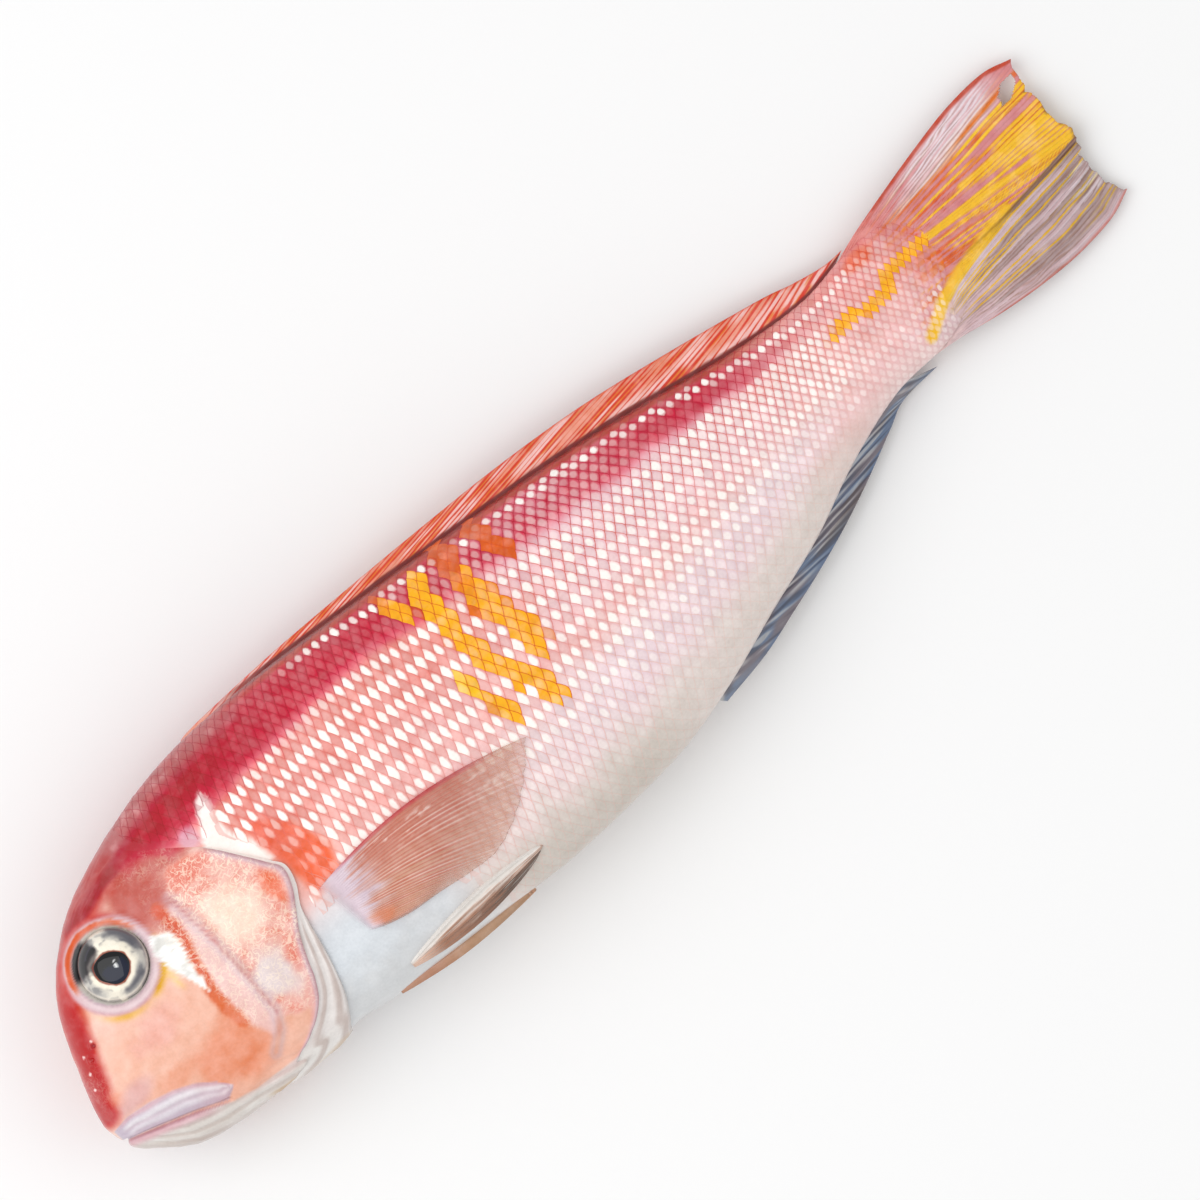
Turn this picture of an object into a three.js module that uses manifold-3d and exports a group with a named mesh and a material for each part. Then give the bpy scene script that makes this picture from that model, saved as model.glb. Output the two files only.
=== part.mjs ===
// A whole raw tilefish lying on its right side, with its left flank up.
// Millimetres, +Z up. The head points to -X and the back to +Y.
// Fish coordinates: x runs from the snout to the tail, y from the snout's level towards the back, and
// z is the height over the table. The girth angle is 0 at the back, a quarter turn on the left flank,
// a half turn at the belly and three quarters on the right flank.
import * as THREE from "three";
import { mergeVertices } from "three/addons/utils/BufferGeometryUtils.js";
import Module from "manifold-3d";

const wasm = await Module();
wasm.setup();

// Driving dimensions: the fish is 350 long, 86 deep without its fins and 45 thick
const TABLE_CUT = 400; // side of the block that takes off what the table presses flat
const BACK_FULLNESS = 0.88; // power of the sine that rounds a section towards the back
const BELLY_FULLNESS = 0.72; // the same towards the belly, which is fuller
const SKIN_COLOUR = 0xe2a49c;
const EYE_COLOUR = 0x8d8f8c;

// Sections from snout to tail: the back's and the belly's point, half the thickness, and the height
// of the middle over the table. The tail sinks towards the table, as a limp fish's does.
const SECTIONS = [
  { back: [0.4, -3.0], belly: [0.4, -3.0], half: 0, height: 21.3 },
  { back: [0.2, 1.0], belly: [1.6, -7.0], half: 3.6, height: 21.3 },
  { back: [2.0, 6.8], belly: [3.0, -9.8], half: 6.4, height: 21.3 },
  { back: [5.0, 13.6], belly: [5.6, -12.6], half: 9.2, height: 21.3 },
  { back: [9.8, 23.8], belly: [9.5, -16.3], half: 11.4, height: 21.3 },
  { back: [15.5, 32.4], belly: [15.0, -19.8], half: 13.3, height: 21.3 },
  { back: [24.0, 39.8], belly: [23.5, -22.6], half: 15.2, height: 21.3 },
  { back: [35.0, 45.9], belly: [35.0, -24.8], half: 17.2, height: 21.3 },
  { back: [50.0, 50.4], belly: [50.0, -28.2], half: 19.6, height: 21.3 },
  { back: [65.0, 53.3], belly: [65.0, -28.6], half: 21.4, height: 21.3 },
  { back: [80.0, 54.2], belly: [80.0, -29.8], half: 22.3, height: 21.3 },
  { back: [95.0, 53.4], belly: [95.0, -32.0], half: 22.5, height: 21.3 },
  { back: [112.5, 51.4], belly: [112.5, -34.5], half: 22.4, height: 21.2 },
  { back: [130.0, 48.6], belly: [130.0, -37.0], half: 22.0, height: 20.8 },
  { back: [150.0, 45.2], belly: [150.0, -38.1], half: 21.0, height: 19.9 },
  { back: [170.0, 41.6], belly: [170.0, -38.0], half: 19.6, height: 18.5 },
  { back: [190.0, 37.8], belly: [190.0, -34.8], half: 17.8, height: 16.8 },
  { back: [210.0, 33.4], belly: [210.0, -29.9], half: 15.6, height: 14.9 },
  { back: [230.0, 28.1], belly: [230.0, -25.4], half: 13.0, height: 13.0 },
  { back: [250.0, 22.4], belly: [250.0, -18.8], half: 10.2, height: 11.2 },
  { back: [270.0, 18.8], belly: [270.0, -14.6], half: 7.6, height: 9.5 },
  { back: [287.0, 19.6], belly: [287.0, -15.0], half: 5.0, height: 8.2 },
  { back: [298.0, 18.0], belly: [296.0, -13.0], half: 2.8, height: 7.4 },
  { back: [306.0, 12.0], belly: [303.0, -9.0], half: 0.8, height: 6.8 },
];
const LAST_SECTION = SECTIONS.length - 1;
const TAIL_END = { x: 350, height: 4.4 };

// Free edges of the bony gill cover and of the membrane under it, from the nape down to the throat
const COVER_EDGE = [
  [51.5, 60], [53, 46], [61, 38], [68, 31], [72.5, 24], [76.2, 17.5], [78, 13.7], [76.2, 8.7],
  [72.5, 3.7], [68.8, -1.2], [65.5, -7.5], [63.6, -11.5], [60, -16.2], [53.7, -20], [45, -22.5],
  [34, -25], [26, -29], [24, -40],
];
const MEMBRANE_EDGE = [
  [51.5, 60], [53, 46], [61, 38], [68.2, 31], [73, 24], [77, 17.5], [79, 13.7], [77.6, 8.7],
  [74.2, 3.7], [72.6, -1.2], [70.9, -7.5], [68.8, -13.7], [66.2, -20], [63, -25], [60.5, -29],
  [58, -40],
];
const COVER_STEP = 0.7; // how far the membrane lies under the gill cover
const SHOULDER_STEP = 2.1; // how far the shoulder lies under the gill cover
const SHOULDER_FADE = 15; // length over which the shoulder rises to the flank again
const GILL_TOP = 31; // level where the gill slit ends under the nape
const HIDDEN_INSET = 3; // how deep the trunk's front lies inside the head
const HIDDEN_END = 7; // how far before the membrane's edge the trunk is at its deepest
const HIDDEN_START = 3; // how far before that edge the trunk reaches the shoulder's level
const MEMBRANE_THINNING = 0.5; // how far the membrane slopes down to its free edge
const TRUNK_LOFT = { around: 36, steps: 26, firstPlace: 7.4, crowding: 1.35 };
const HEAD_LOFT = { around: 40, steps: 18, crowding: 1.2, core: [52, 12], corePull: 0.16 };

const EYE = { x: 30.8, y: 27.6, radius: 9.4, depth: 5.2, sink: 1.3, gap: 0.3 };
const EYE_RIM = { radius: 10.4, tube: 1.6, sink: 0.7 };
const MOUTH = { radius: 0.75, steps: 12, front: [1.1, -5.7, 21.3] };
const MOUTH_LINE = [[1.9, -5.9], [5, -7.2], [12.5, -10.4], [19, -13.3], [24, -15.9], [27.5, -17.2]];
const JAW_PLATE = {
  upper: [[1.4, -2.2], [6, -2.0], [12.5, -3.2], [19, -5.5], [24, -8.2], [28, -11.8], [29.6, -14.6]],
  lower: [[1.9, -5.2], [6, -7.0], [12.5, -9.7], [19, -12.5], [24, -15.0], [27, -16.4], [29.2, -15.8]],
  raised: 0.55,
  depth: 1.5, // how far the plate reaches under the skin
};
const CHEEK_RIDGE = { radius: 1.5, sink: 1.1, steps: 12 };
const CHEEK_RIDGE_LINE = [
  [53.7, 23.7], [53.2, 12.5], [51.7, 5], [50.7, -5], [49.5, -11], [44, -16], [34, -18],
];
const NOSTRILS = [[13.0, 16.8], [10.2, 14.6]];
const NOSTRIL_RADIUS = 0.7;

const CAUDAL = {
  rays: 15,
  upper: [[281, 18.6], [291, 21.0], [304, 23.2], [318, 25.2], [330, 26.4], [342, 26.0], [350, 23.3]],
  lower: [[281, -14.2], [291, -16.2], [303, -19.4], [315, -21.7], [327, -23.0], [339, -22.6], [347, -20.3]],
  fold: 0.6, // where, from top to bottom, the lower lobe slips behind the upper one
  lift: 0.5, // how far the upper lobe's edge stands over the spine's plane
  drop: 0.9, // how far the lower lobe's edge lies under it
  droop: 0.003, // how fast the fan's sides sink, by the square of the distance from its middle
  axis: 2, // level of the fan's middle
  torn: 0.05, // share by which the torn lower lobe is shorter
  notch: 0.02, // share by which the skin between two rays is shorter
  rootHalf: 1.5,
  edgeHalf: 0.45,
};
const DORSAL = {
  rays: 18,
  start: 81,
  end: 279,
  margin: [
    [81.5, 54.2], [88, 54.9], [112.5, 53.3], [136, 50.9], [162.5, 48.0], [187.5, 44.8], [212.5, 40.3],
    [237.5, 33.9], [262.5, 26.7], [271, 23.6], [280, 21.0], [286, 20.5],
  ],
  sweep: 31, // how far the longest ray's tip lies behind its root
  lean: 2.4, // how far the edge sinks towards the table
};
const ANAL = {
  rays: 14,
  start: 183,
  end: 272,
  margin: [
    [185, -37.4], [200, -36.2], [212.5, -33.8], [225, -31.2], [237.5, -28.0], [250, -24.0],
    [262.5, -19.4], [270, -16.8], [283, -17.0],
  ],
  sweep: 20,
  lean: 6.0,
};
const MEDIAN = { rootHalf: 1.1, edgeHalf: 0.4, sunk: 1.2 };
const PECTORAL = {
  rays: 11,
  root: [[78.5, 3.2], [80, -4.5], [81.5, -12.5]],
  margin: [[143.5, -7.2], [138, -12.5], [129, -18.3], [119, -21.6], [110, -20.6], [100, -18.2]],
  arch: 4.6, // how far the first ray bows up from a straight line
  sag: 1, // how far the last ray bows down
  rise: 0.75, // how far the fleshy root stands over the skin, and what it loses on the way out
  thinning: 0.35,
  depth: 2.2, // how far the sheet reaches under the skin at the root
};
const PELVIC = { rays: 4, spread: 4, depth: 1.6 };
const PELVIC_LEFT = { start: 83, end: 127, root: 156, tip: 146, raised: 1.4, width: 7.4 };
const PELVIC_RIGHT = { start: 76, end: 118, root: 186, tip: 183, raised: 2.2, width: 5.6 };

const lerp = THREE.MathUtils.lerp;
const clamp = THREE.MathUtils.clamp;
const smooth = (edge0, edge1, value) => THREE.MathUtils.smoothstep(value, edge0, edge1);

// A smooth curve through points, read by its share of the way.
function curveThrough(points) {
  const places = points.map((p) => new THREE.Vector3(p[0], p[1], p[2] ?? 0));
  return new THREE.CatmullRomCurve3(places, false, "catmullrom", 0.5);
}

// y of a curve whose x only grows, at a given x.
function heightOn(curve, x) {
  let low = 0;
  let high = 1;
  for (let i = 0; i < 30; i++) {
    const middle = (low + high) / 2;
    if (curve.getPoint(middle).x < x) low = middle;
    else high = middle;
  }
  return curve.getPoint(low).y;
}

const backCurve = curveThrough(SECTIONS.map((s) => [...s.back, s.half]));
const bellyCurve = curveThrough(SECTIONS.map((s) => [...s.belly, s.height]));
const coverCurve = curveThrough(COVER_EDGE.map(([x, y]) => [-y, x]));
const membraneCurve = curveThrough(MEMBRANE_EDGE.map(([x, y]) => [-y, x]));

// The section at a place counted in sections from the snout.
function sectionAt(place) {
  const share = clamp(place / LAST_SECTION, 0, 1);
  const back = backCurve.getPoint(share);
  const belly = bellyCurve.getPoint(share);
  return { back, belly, half: Math.max(back.z, 0), height: belly.z };
}

// The place whose section passes through (x, y), and that point's girth angle on the left side.
function placeOf(x, y) {
  let low = 0;
  let high = LAST_SECTION;
  let across = 0;
  for (let i = 0; i < 36; i++) {
    const middle = (low + high) / 2;
    const { back, belly } = sectionAt(middle);
    const cx = (back.x + belly.x) / 2;
    const cy = (back.y + belly.y) / 2;
    const hx = (back.x - belly.x) / 2;
    const hy = (back.y - belly.y) / 2;
    across = ((x - cx) * hx + (y - cy) * hy) / Math.max(hx * hx + hy * hy, 1e-9);
    if ((x - cx) * hy - (y - cy) * hx > 0) low = middle;
    else high = middle;
  }
  return { place: low, angle: Math.acos(clamp(across, -0.999, 0.999)) };
}

// A point of the nominal skin.
function skin(place, angle) {
  const { back, belly, half, height } = sectionAt(place);
  const across = Math.cos(angle);
  const fullness = across > 0 ? BACK_FULLNESS : BELLY_FULLNESS;
  const rise = half * Math.abs(Math.sin(angle)) ** fullness * Math.sign(Math.sin(angle));
  return new THREE.Vector3(
    lerp(belly.x, back.x, (1 + across) / 2),
    lerp(belly.y, back.y, (1 + across) / 2),
    height + rise,
  );
}

// The way out of the skin at a point.
function skinNormal(place, angle) {
  const step = 0.02;
  const along = skin(place + step, angle).sub(skin(place - step, angle));
  const around = skin(place, angle + step).sub(skin(place, angle - step));
  return new THREE.Vector3().crossVectors(around, along).normalize();
}

// A point over the skin at fish coordinates (x, y), on the left (side 1) or right (side -1) flank.
function overSkin(x, y, side, out) {
  const { place, angle } = placeOf(x, y);
  const around = side > 0 ? angle : 2 * Math.PI - angle;
  return skin(place, around).addScaledVector(skinNormal(place, around), out);
}

// Height of the spine's plane over the table, also through the tail fin.
function spineHeight(x) {
  const end = SECTIONS[LAST_SECTION];
  if (x > end.back[0]) {
    return lerp(end.height, TAIL_END.height, (x - end.back[0]) / (TAIL_END.x - end.back[0]));
  }
  return sectionAt(placeOf(x, 8).place).height;
}

// A manifold-3d solid from points and triangles, turned so that its faces point out.
function solidFrom(points, triangles) {
  const position = new Float32Array(points.flatMap((p) => [p.x, p.y, p.z]));
  const geometry = new THREE.BufferGeometry()
    .setAttribute("position", new THREE.BufferAttribute(position, 3))
    .setIndex(triangles);
  const merged = mergeVertices(geometry, 1e-4);
  const p = merged.attributes.position.array;
  const t = Array.from(merged.index.array);
  const corner = (i) => new THREE.Vector3(p[3 * i], p[3 * i + 1], p[3 * i + 2]);
  let volume = 0;
  for (let i = 0; i < t.length; i += 3) {
    volume += corner(t[i]).dot(corner(t[i + 1]).cross(corner(t[i + 2])));
  }
  if (volume < 0) t.reverse();
  const mesh = new wasm.Mesh({ numProp: 3, vertProperties: p, triVerts: new Uint32Array(t) });
  return new wasm.Manifold(mesh);
}

// The solid of a three.js geometry.
function solidOf(geometry) {
  const plain = geometry.clone();
  plain.deleteAttribute("normal");
  plain.deleteAttribute("uv");
  const merged = mergeVertices(plain, 1e-4);
  const at = merged.attributes.position;
  const points = Array.from({ length: at.count }, (_, i) => new THREE.Vector3().fromBufferAttribute(at, i));
  return solidFrom(points, Array.from(merged.index.array));
}

// A closed solid through rings of equal size, shut at both ends by a point.
function loft(rings, first, last) {
  const size = rings[0].length;
  const points = [first, ...rings.flat(), last];
  const end = points.length - 1;
  const triangles = [];
  for (let k = 0; k < size; k++) {
    const next = (k + 1) % size;
    triangles.push(0, 1 + k, 1 + next);
    for (let r = 0; r + 1 < rings.length; r++) {
      const a = 1 + r * size;
      const b = a + size;
      triangles.push(a + k, b + k, a + next, a + next, b + k, b + next);
    }
    const a = 1 + (rings.length - 1) * size;
    triangles.push(a + k, end, a + next);
  }
  return solidFrom(points, triangles);
}

// A thin closed sheet. place(u, v) gives its middle and half of its thickness as a vector.
function sheet(along, across, place) {
  const front = [];
  const rear = [];
  for (let i = 0; i <= along; i++) {
    for (let j = 0; j <= across; j++) {
      const { middle, half } = place(i / along, j / across);
      front.push(middle.clone().add(half));
      rear.push(middle.clone().sub(half));
    }
  }
  const width = across + 1;
  const back = front.length;
  const triangles = [];
  for (let i = 0; i < along; i++) {
    for (let j = 0; j < across; j++) {
      const a = i * width + j;
      const b = a + width;
      triangles.push(a, b, a + 1, a + 1, b, b + 1);
      triangles.push(back + a, back + a + 1, back + b, back + a + 1, back + b + 1, back + b);
    }
  }
  const rim = [];
  for (let j = 0; j < across; j++) rim.push(j);
  for (let i = 0; i < along; i++) rim.push(i * width + across);
  for (let j = across; j > 0; j--) rim.push(along * width + j);
  for (let i = along; i > 0; i--) rim.push(i * width);
  rim.forEach((a, k) => {
    const b = rim[(k + 1) % rim.length];
    triangles.push(a, b, back + a, b, back + b, back + a);
  });
  return solidFrom([...front, ...rear], triangles);
}

// A tube of small radius through points, with shut ends.
function tube(points, radius, sides) {
  const rings = points.map((p, i) => {
    const before = points[Math.max(i - 1, 0)];
    const after = points[Math.min(i + 1, points.length - 1)];
    const ahead = after.clone().sub(before).normalize();
    const up = new THREE.Vector3(0, 1, 0).addScaledVector(ahead, -ahead.y).normalize();
    const right = new THREE.Vector3().crossVectors(ahead, up);
    return Array.from({ length: sides }, (_, k) => {
      const a = (2 * Math.PI * k) / sides;
      return p.clone().addScaledVector(up, radius * Math.cos(a)).addScaledVector(right, radius * Math.sin(a));
    });
  });
  return loft(rings, points[0], points[points.length - 1]);
}

// 1 along a ray's middle and 0 between two rays.
const onRay = (v, rays) => 0.5 + 0.5 * Math.cos(2 * Math.PI * v * rays);

// How far the trunk lies under the nominal skin, which is deepest inside the head.
function trunkInset(point) {
  const behind = point.x - heightOn(membraneCurve, -point.y);
  const below = 1 - smooth(GILL_TOP - 5, GILL_TOP + 3, point.y);
  const shoulder = SHOULDER_STEP * below * (1 - smooth(0, SHOULDER_FADE, behind));
  const covered = behind < 0 ? 0.05 : 0;
  return lerp(HIDDEN_INSET, Math.max(shoulder, covered), smooth(-HIDDEN_END, -HIDDEN_START, behind));
}

// Trunk from inside the head to the tail fin's root. Its rings lie closer together at the shoulder.
function trunkSolid() {
  const { around, steps, firstPlace, crowding } = TRUNK_LOFT;
  const rings = [];
  for (let i = 0; i <= steps; i++) {
    const place = lerp(firstPlace, LAST_SECTION, (i / steps) ** crowding);
    rings.push(
      Array.from({ length: around }, (_, k) => {
        const angle = (2 * Math.PI * k) / around;
        const point = skin(place, angle);
        return point.addScaledVector(skinNormal(place, angle), -trunkInset(point));
      }),
    );
  }
  const middle = (place) => {
    const { back, belly, height } = sectionAt(place);
    return new THREE.Vector3((back.x + belly.x) / 2, (back.y + belly.y) / 2, height);
  };
  return loft(rings, middle(firstPlace), middle(LAST_SECTION).add(new THREE.Vector3(1, 0, 0)));
}

// Places, one for each girth angle, where an edge given by its x at each level crosses the skin.
function placesOfEdge(curve, around) {
  return Array.from({ length: around }, (_, k) => {
    const angle = (2 * Math.PI * k) / around;
    let place = 8;
    for (let i = 0; i < 10; i++) place = placeOf(heightOn(curve, -skin(place, angle).y), 10).place;
    return place;
  });
}

// Head with the gill covers, whose rear edge and membrane stand over the shoulder.
function headSolid() {
  const { around, steps, crowding, core, corePull } = HEAD_LOFT;
  const cover = placesOfEdge(coverCurve, around);
  const membrane = placesOfEdge(membraneCurve, around);
  const ring = (places, inset) =>
    places.map((place, k) => {
      const angle = (2 * Math.PI * k) / around;
      const point = skin(place, angle);
      const lower = inset * (1 - smooth(GILL_TOP - 3, GILL_TOP + 2, point.y));
      return point.addScaledVector(skinNormal(place, angle), -lower);
    });
  const rings = [];
  for (let i = 1; i <= steps; i++) {
    const share = (i / steps) ** crowding;
    rings.push(ring(cover.map((edge) => edge * share), 0));
  }
  rings.push(ring(cover.map((edge) => edge + 0.01), COVER_STEP));
  const freeEdge = membrane.map((edge, k) => Math.max(edge, cover[k] + 0.02));
  rings.push(ring(freeEdge, COVER_STEP + MEMBRANE_THINNING));
  const { back, height } = sectionAt(0);
  const heart = new THREE.Vector3(...core, height);
  rings.push(rings[rings.length - 1].map((p) => p.clone().lerp(heart, corePull)));
  return loft(rings, new THREE.Vector3(back.x, back.y, height), heart);
}

// Frame of an eye: its centre in the skin and the way it looks.
function eyeFrame(side) {
  const centre = overSkin(EYE.x, EYE.y, side, 0);
  const { place, angle } = placeOf(EYE.x, EYE.y);
  const out = skinNormal(place, side > 0 ? angle : 2 * Math.PI - angle);
  const turn = new THREE.Quaternion().setFromUnitVectors(new THREE.Vector3(0, 0, 1), out);
  return { centre, out, turn };
}

// A flattened ball at an eye, grown by a margin.
function eyeBall(side, margin, rows) {
  const { centre, out, turn } = eyeFrame(side);
  const wide = EYE.radius + margin;
  const ball = new THREE.SphereGeometry(1, 2 * rows, rows)
    .rotateX(Math.PI / 2)
    .scale(wide, wide, EYE.depth + margin)
    .applyQuaternion(turn);
  const at = centre.clone().addScaledVector(out, -EYE.sink);
  return ball.translate(at.x, at.y, at.z);
}

// Raised ring of skin round an eye.
function eyeRim(side) {
  const { centre, out, turn } = eyeFrame(side);
  const at = centre.clone().addScaledVector(out, -EYE_RIM.sink);
  const ring = new THREE.TorusGeometry(EYE_RIM.radius, EYE_RIM.tube, 6, 24).applyQuaternion(turn);
  return ring.translate(at.x, at.y, at.z);
}

// Slit between the lips, from one mouth corner round the snout to the other.
function mouthSlit() {
  const line = curveThrough(MOUTH_LINE);
  const left = line.getPoints(MOUTH.steps).map((p) => overSkin(p.x, p.y, 1, 0));
  const right = line.getPoints(MOUTH.steps).map((p) => overSkin(p.x, p.y, -1, 0));
  return tube([...left.reverse(), new THREE.Vector3(...MOUTH.front), ...right], MOUTH.radius, 6);
}

// Low ridge of bone round the rear of the cheek.
function cheekRidge(side) {
  const points = curveThrough(CHEEK_RIDGE_LINE).getPoints(CHEEK_RIDGE.steps);
  const places = points.map((p) => overSkin(p.x, p.y, side, -CHEEK_RIDGE.sink));
  return tube(places, CHEEK_RIDGE.radius, 6);
}

// Upper jaw's plate, which lies over the cheek's front.
function jawPlate(side) {
  const upper = curveThrough(JAW_PLATE.upper);
  const lower = curveThrough(JAW_PLATE.lower);
  return sheet(12, 3, (u, v) => {
    const spot = upper.getPoint(u).lerp(lower.getPoint(u), v);
    const crown = JAW_PLATE.raised * (0.4 + 0.6 * Math.sin(Math.PI * (0.1 + 0.8 * v)));
    const outer = overSkin(spot.x, spot.y, side, crown);
    const inner = overSkin(spot.x, spot.y, side, -JAW_PLATE.depth);
    return { middle: outer.clone().add(inner).divideScalar(2), half: outer.sub(inner).divideScalar(2) };
  });
}

// Tail fin: a fan of rays with a ragged rear edge, its lower lobe slipped behind the upper one.
function caudalFin() {
  const upper = curveThrough(CAUDAL.upper);
  const lower = curveThrough(CAUDAL.lower);
  return sheet(5, 2 * CAUDAL.rays, (u, v) => {
    const ridge = onRay(v, CAUDAL.rays);
    const short = v > CAUDAL.fold && v < 0.93 ? CAUDAL.torn : 0;
    const reach = u * (1 - short - CAUDAL.notch * (1 - ridge));
    const spot = upper.getPoint(reach).lerp(lower.getPoint(reach), v);
    const behind = smooth(CAUDAL.fold - 0.02, CAUDAL.fold + 0.03, v);
    const droop = CAUDAL.droop * u * (spot.y - CAUDAL.axis) ** 2;
    const height = spineHeight(spot.x) + u * lerp(CAUDAL.lift, -CAUDAL.drop, behind) - droop;
    const half = lerp(CAUDAL.rootHalf, CAUDAL.edgeHalf, Math.sqrt(u)) * (0.65 + 0.35 * ridge);
    return { middle: new THREE.Vector3(spot.x, spot.y, height), half: new THREE.Vector3(0, 0, half) };
  });
}

// A fin along the back or belly, folded back so that its rays nearly follow the body.
function medianFin(fin, edgeOfBody, side) {
  const margin = curveThrough(fin.margin);
  const lastMargin = fin.margin[fin.margin.length - 1][0];
  return sheet(3, 2 * fin.rays, (u, v) => {
    const root = lerp(fin.start, fin.end, v);
    const swept = root + 2 + fin.sweep * Math.sin(Math.PI * clamp(v, 0, 0.9)) ** 0.8;
    const tip = Math.min(Math.max(swept, fin.margin[0][0]), lerp(swept, lastMargin, smooth(0.7, 1, v)));
    const rootY = edgeOfBody(root) - side * MEDIAN.sunk;
    const x = lerp(root, tip, u);
    const y = lerp(rootY, heightOn(margin, tip), u);
    const ridge = onRay(v, fin.rays);
    const half = lerp(MEDIAN.rootHalf, MEDIAN.edgeHalf, u) * (0.6 + 0.4 * ridge);
    return {
      middle: new THREE.Vector3(x, y, spineHeight(x) - fin.lean * u),
      half: new THREE.Vector3(0, 0, half),
    };
  });
}

const backAt = (x) => sectionAt(placeOf(x, 10).place).back.y;
const bellyAt = (x) => sectionAt(placeOf(x, 10).place).belly.y;

// Pectoral fin: a fan that lies flat on the flank behind the gill cover.
function pectoralFin(side) {
  const root = curveThrough(PECTORAL.root);
  const margin = curveThrough(PECTORAL.margin);
  return sheet(5, 2 * PECTORAL.rays, (u, v) => {
    const ridge = onRay(v, PECTORAL.rays);
    const reach = u * (1 - 0.02 * (1 - ridge));
    const spot = root.getPoint(v).lerp(margin.getPoint(v), reach);
    const y = spot.y + lerp(PECTORAL.arch, -PECTORAL.sag, v) * Math.sin(Math.PI * reach) ** 0.9;
    const plain = PECTORAL.thinning + PECTORAL.rise * smooth(0, 0.16, u) - PECTORAL.thinning * u;
    const raised = plain * (0.7 + 0.3 * ridge);
    const outer = overSkin(spot.x, y, side, raised);
    const inner = overSkin(spot.x, y, side, -PECTORAL.depth * (1 - 0.5 * u));
    return { middle: outer.clone().add(inner).divideScalar(2), half: outer.sub(inner).divideScalar(2) };
  });
}

// Pelvic fin: a folded bundle of rays along the belly, at girth angles given in degrees.
function pelvicFin(fin) {
  const degrees = Math.PI / 180;
  const side = fin.root > 180 ? -1 : 1;
  return sheet(7, 2 * PELVIC.rays, (u, v) => {
    const ridge = onRay(v, PELVIC.rays);
    const swell = Math.sin(Math.PI * clamp(0.04 + 0.9 * u, 0, 1)) ** 0.7;
    const x = lerp(fin.start, fin.end, u) - PELVIC.spread * Math.abs(v - 0.35) * u;
    const { place } = placeOf(x, 10);
    const middleAngle = lerp(fin.root, fin.tip, u) * degrees;
    const perAngle = skin(place, middleAngle + 0.05).distanceTo(skin(place, middleAngle - 0.05)) / 0.1;
    const angle = middleAngle + (side * (v - 0.5) * fin.width * swell) / perAngle;
    const normal = skinNormal(place, angle);
    const outer = skin(place, angle).addScaledVector(normal, fin.raised * swell * (0.65 + 0.35 * ridge));
    const inner = skin(place, angle).addScaledVector(normal, -PELVIC.depth);
    return { middle: outer.clone().add(inner).divideScalar(2), half: outer.sub(inner).divideScalar(2) };
  });
}

// Everything of flesh, fin and skin, pressed flat where it rests on the table.
function fishSolid() {
  const grown = [
    headSolid(),
    ...[1, -1].map(cheekRidge),
    ...[1, -1].map((side) => solidOf(eyeRim(side))),
    ...[1, -1].map(jawPlate),
    caudalFin(),
    medianFin(DORSAL, backAt, 1),
    medianFin(ANAL, bellyAt, -1),
    ...[1, -1].map(pectoralFin),
    pelvicFin(PELVIC_LEFT),
    pelvicFin(PELVIC_RIGHT),
  ];
  const cuts = [
    mouthSlit(),
    ...[1, -1].map((side) => solidOf(eyeBall(side, EYE.gap, 9))),
    ...NOSTRILS.flatMap(([x, y]) =>
      [1, -1].map((side) => {
        const at = overSkin(x, y, side, 0);
        return solidOf(new THREE.SphereGeometry(NOSTRIL_RADIUS, 8, 6).translate(at.x, at.y, at.z));
      }),
    ),
    solidOf(new THREE.BoxGeometry(2 * TABLE_CUT, TABLE_CUT, TABLE_CUT).translate(0, 0, -TABLE_CUT / 2)),
  ];
  const whole = grown.reduce((sum, piece) => sum.add(piece), trunkSolid());
  return cuts.reduce((left, cut) => left.subtract(cut), whole);
}

// A named mesh from a solid, keeping only its largest body.
function meshFrom(name, solid, material) {
  const bodies = solid.decompose().sort((a, b) => b.volume() - a.volume());
  const { vertProperties, triVerts } = bodies[0].getMesh();
  const geometry = new THREE.BufferGeometry()
    .setAttribute("position", new THREE.BufferAttribute(new Float32Array(vertProperties), 3))
    .setIndex(new THREE.BufferAttribute(new Uint32Array(triVerts), 1));
  geometry.computeVertexNormals();
  const mesh = new THREE.Mesh(geometry, material);
  mesh.name = name;
  return mesh;
}

const skinMaterial = new THREE.MeshStandardMaterial({ color: SKIN_COLOUR, roughness: 0.35, metalness: 0 });
const eyeMaterial = new THREE.MeshStandardMaterial({ color: EYE_COLOUR, roughness: 0.15, metalness: 0.2 });

const fish = new THREE.Group();
fish.add(meshFrom("fish_body", fishSolid(), skinMaterial));
fish.add(meshFrom("eye_left", solidOf(eyeBall(1, 0, 9)), eyeMaterial));
fish.add(meshFrom("eye_right", solidOf(eyeBall(-1, 0, 9)), eyeMaterial));

// The origin lies on the table, under the middle of the whole fish's box
const box = new THREE.Box3().setFromObject(fish);
const middle = box.getCenter(new THREE.Vector3());
fish.position.set(-middle.x, -middle.y, -box.min.z);

export default fish;
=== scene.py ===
import logging
import math
from dataclasses import dataclass
from enum import Enum

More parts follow.
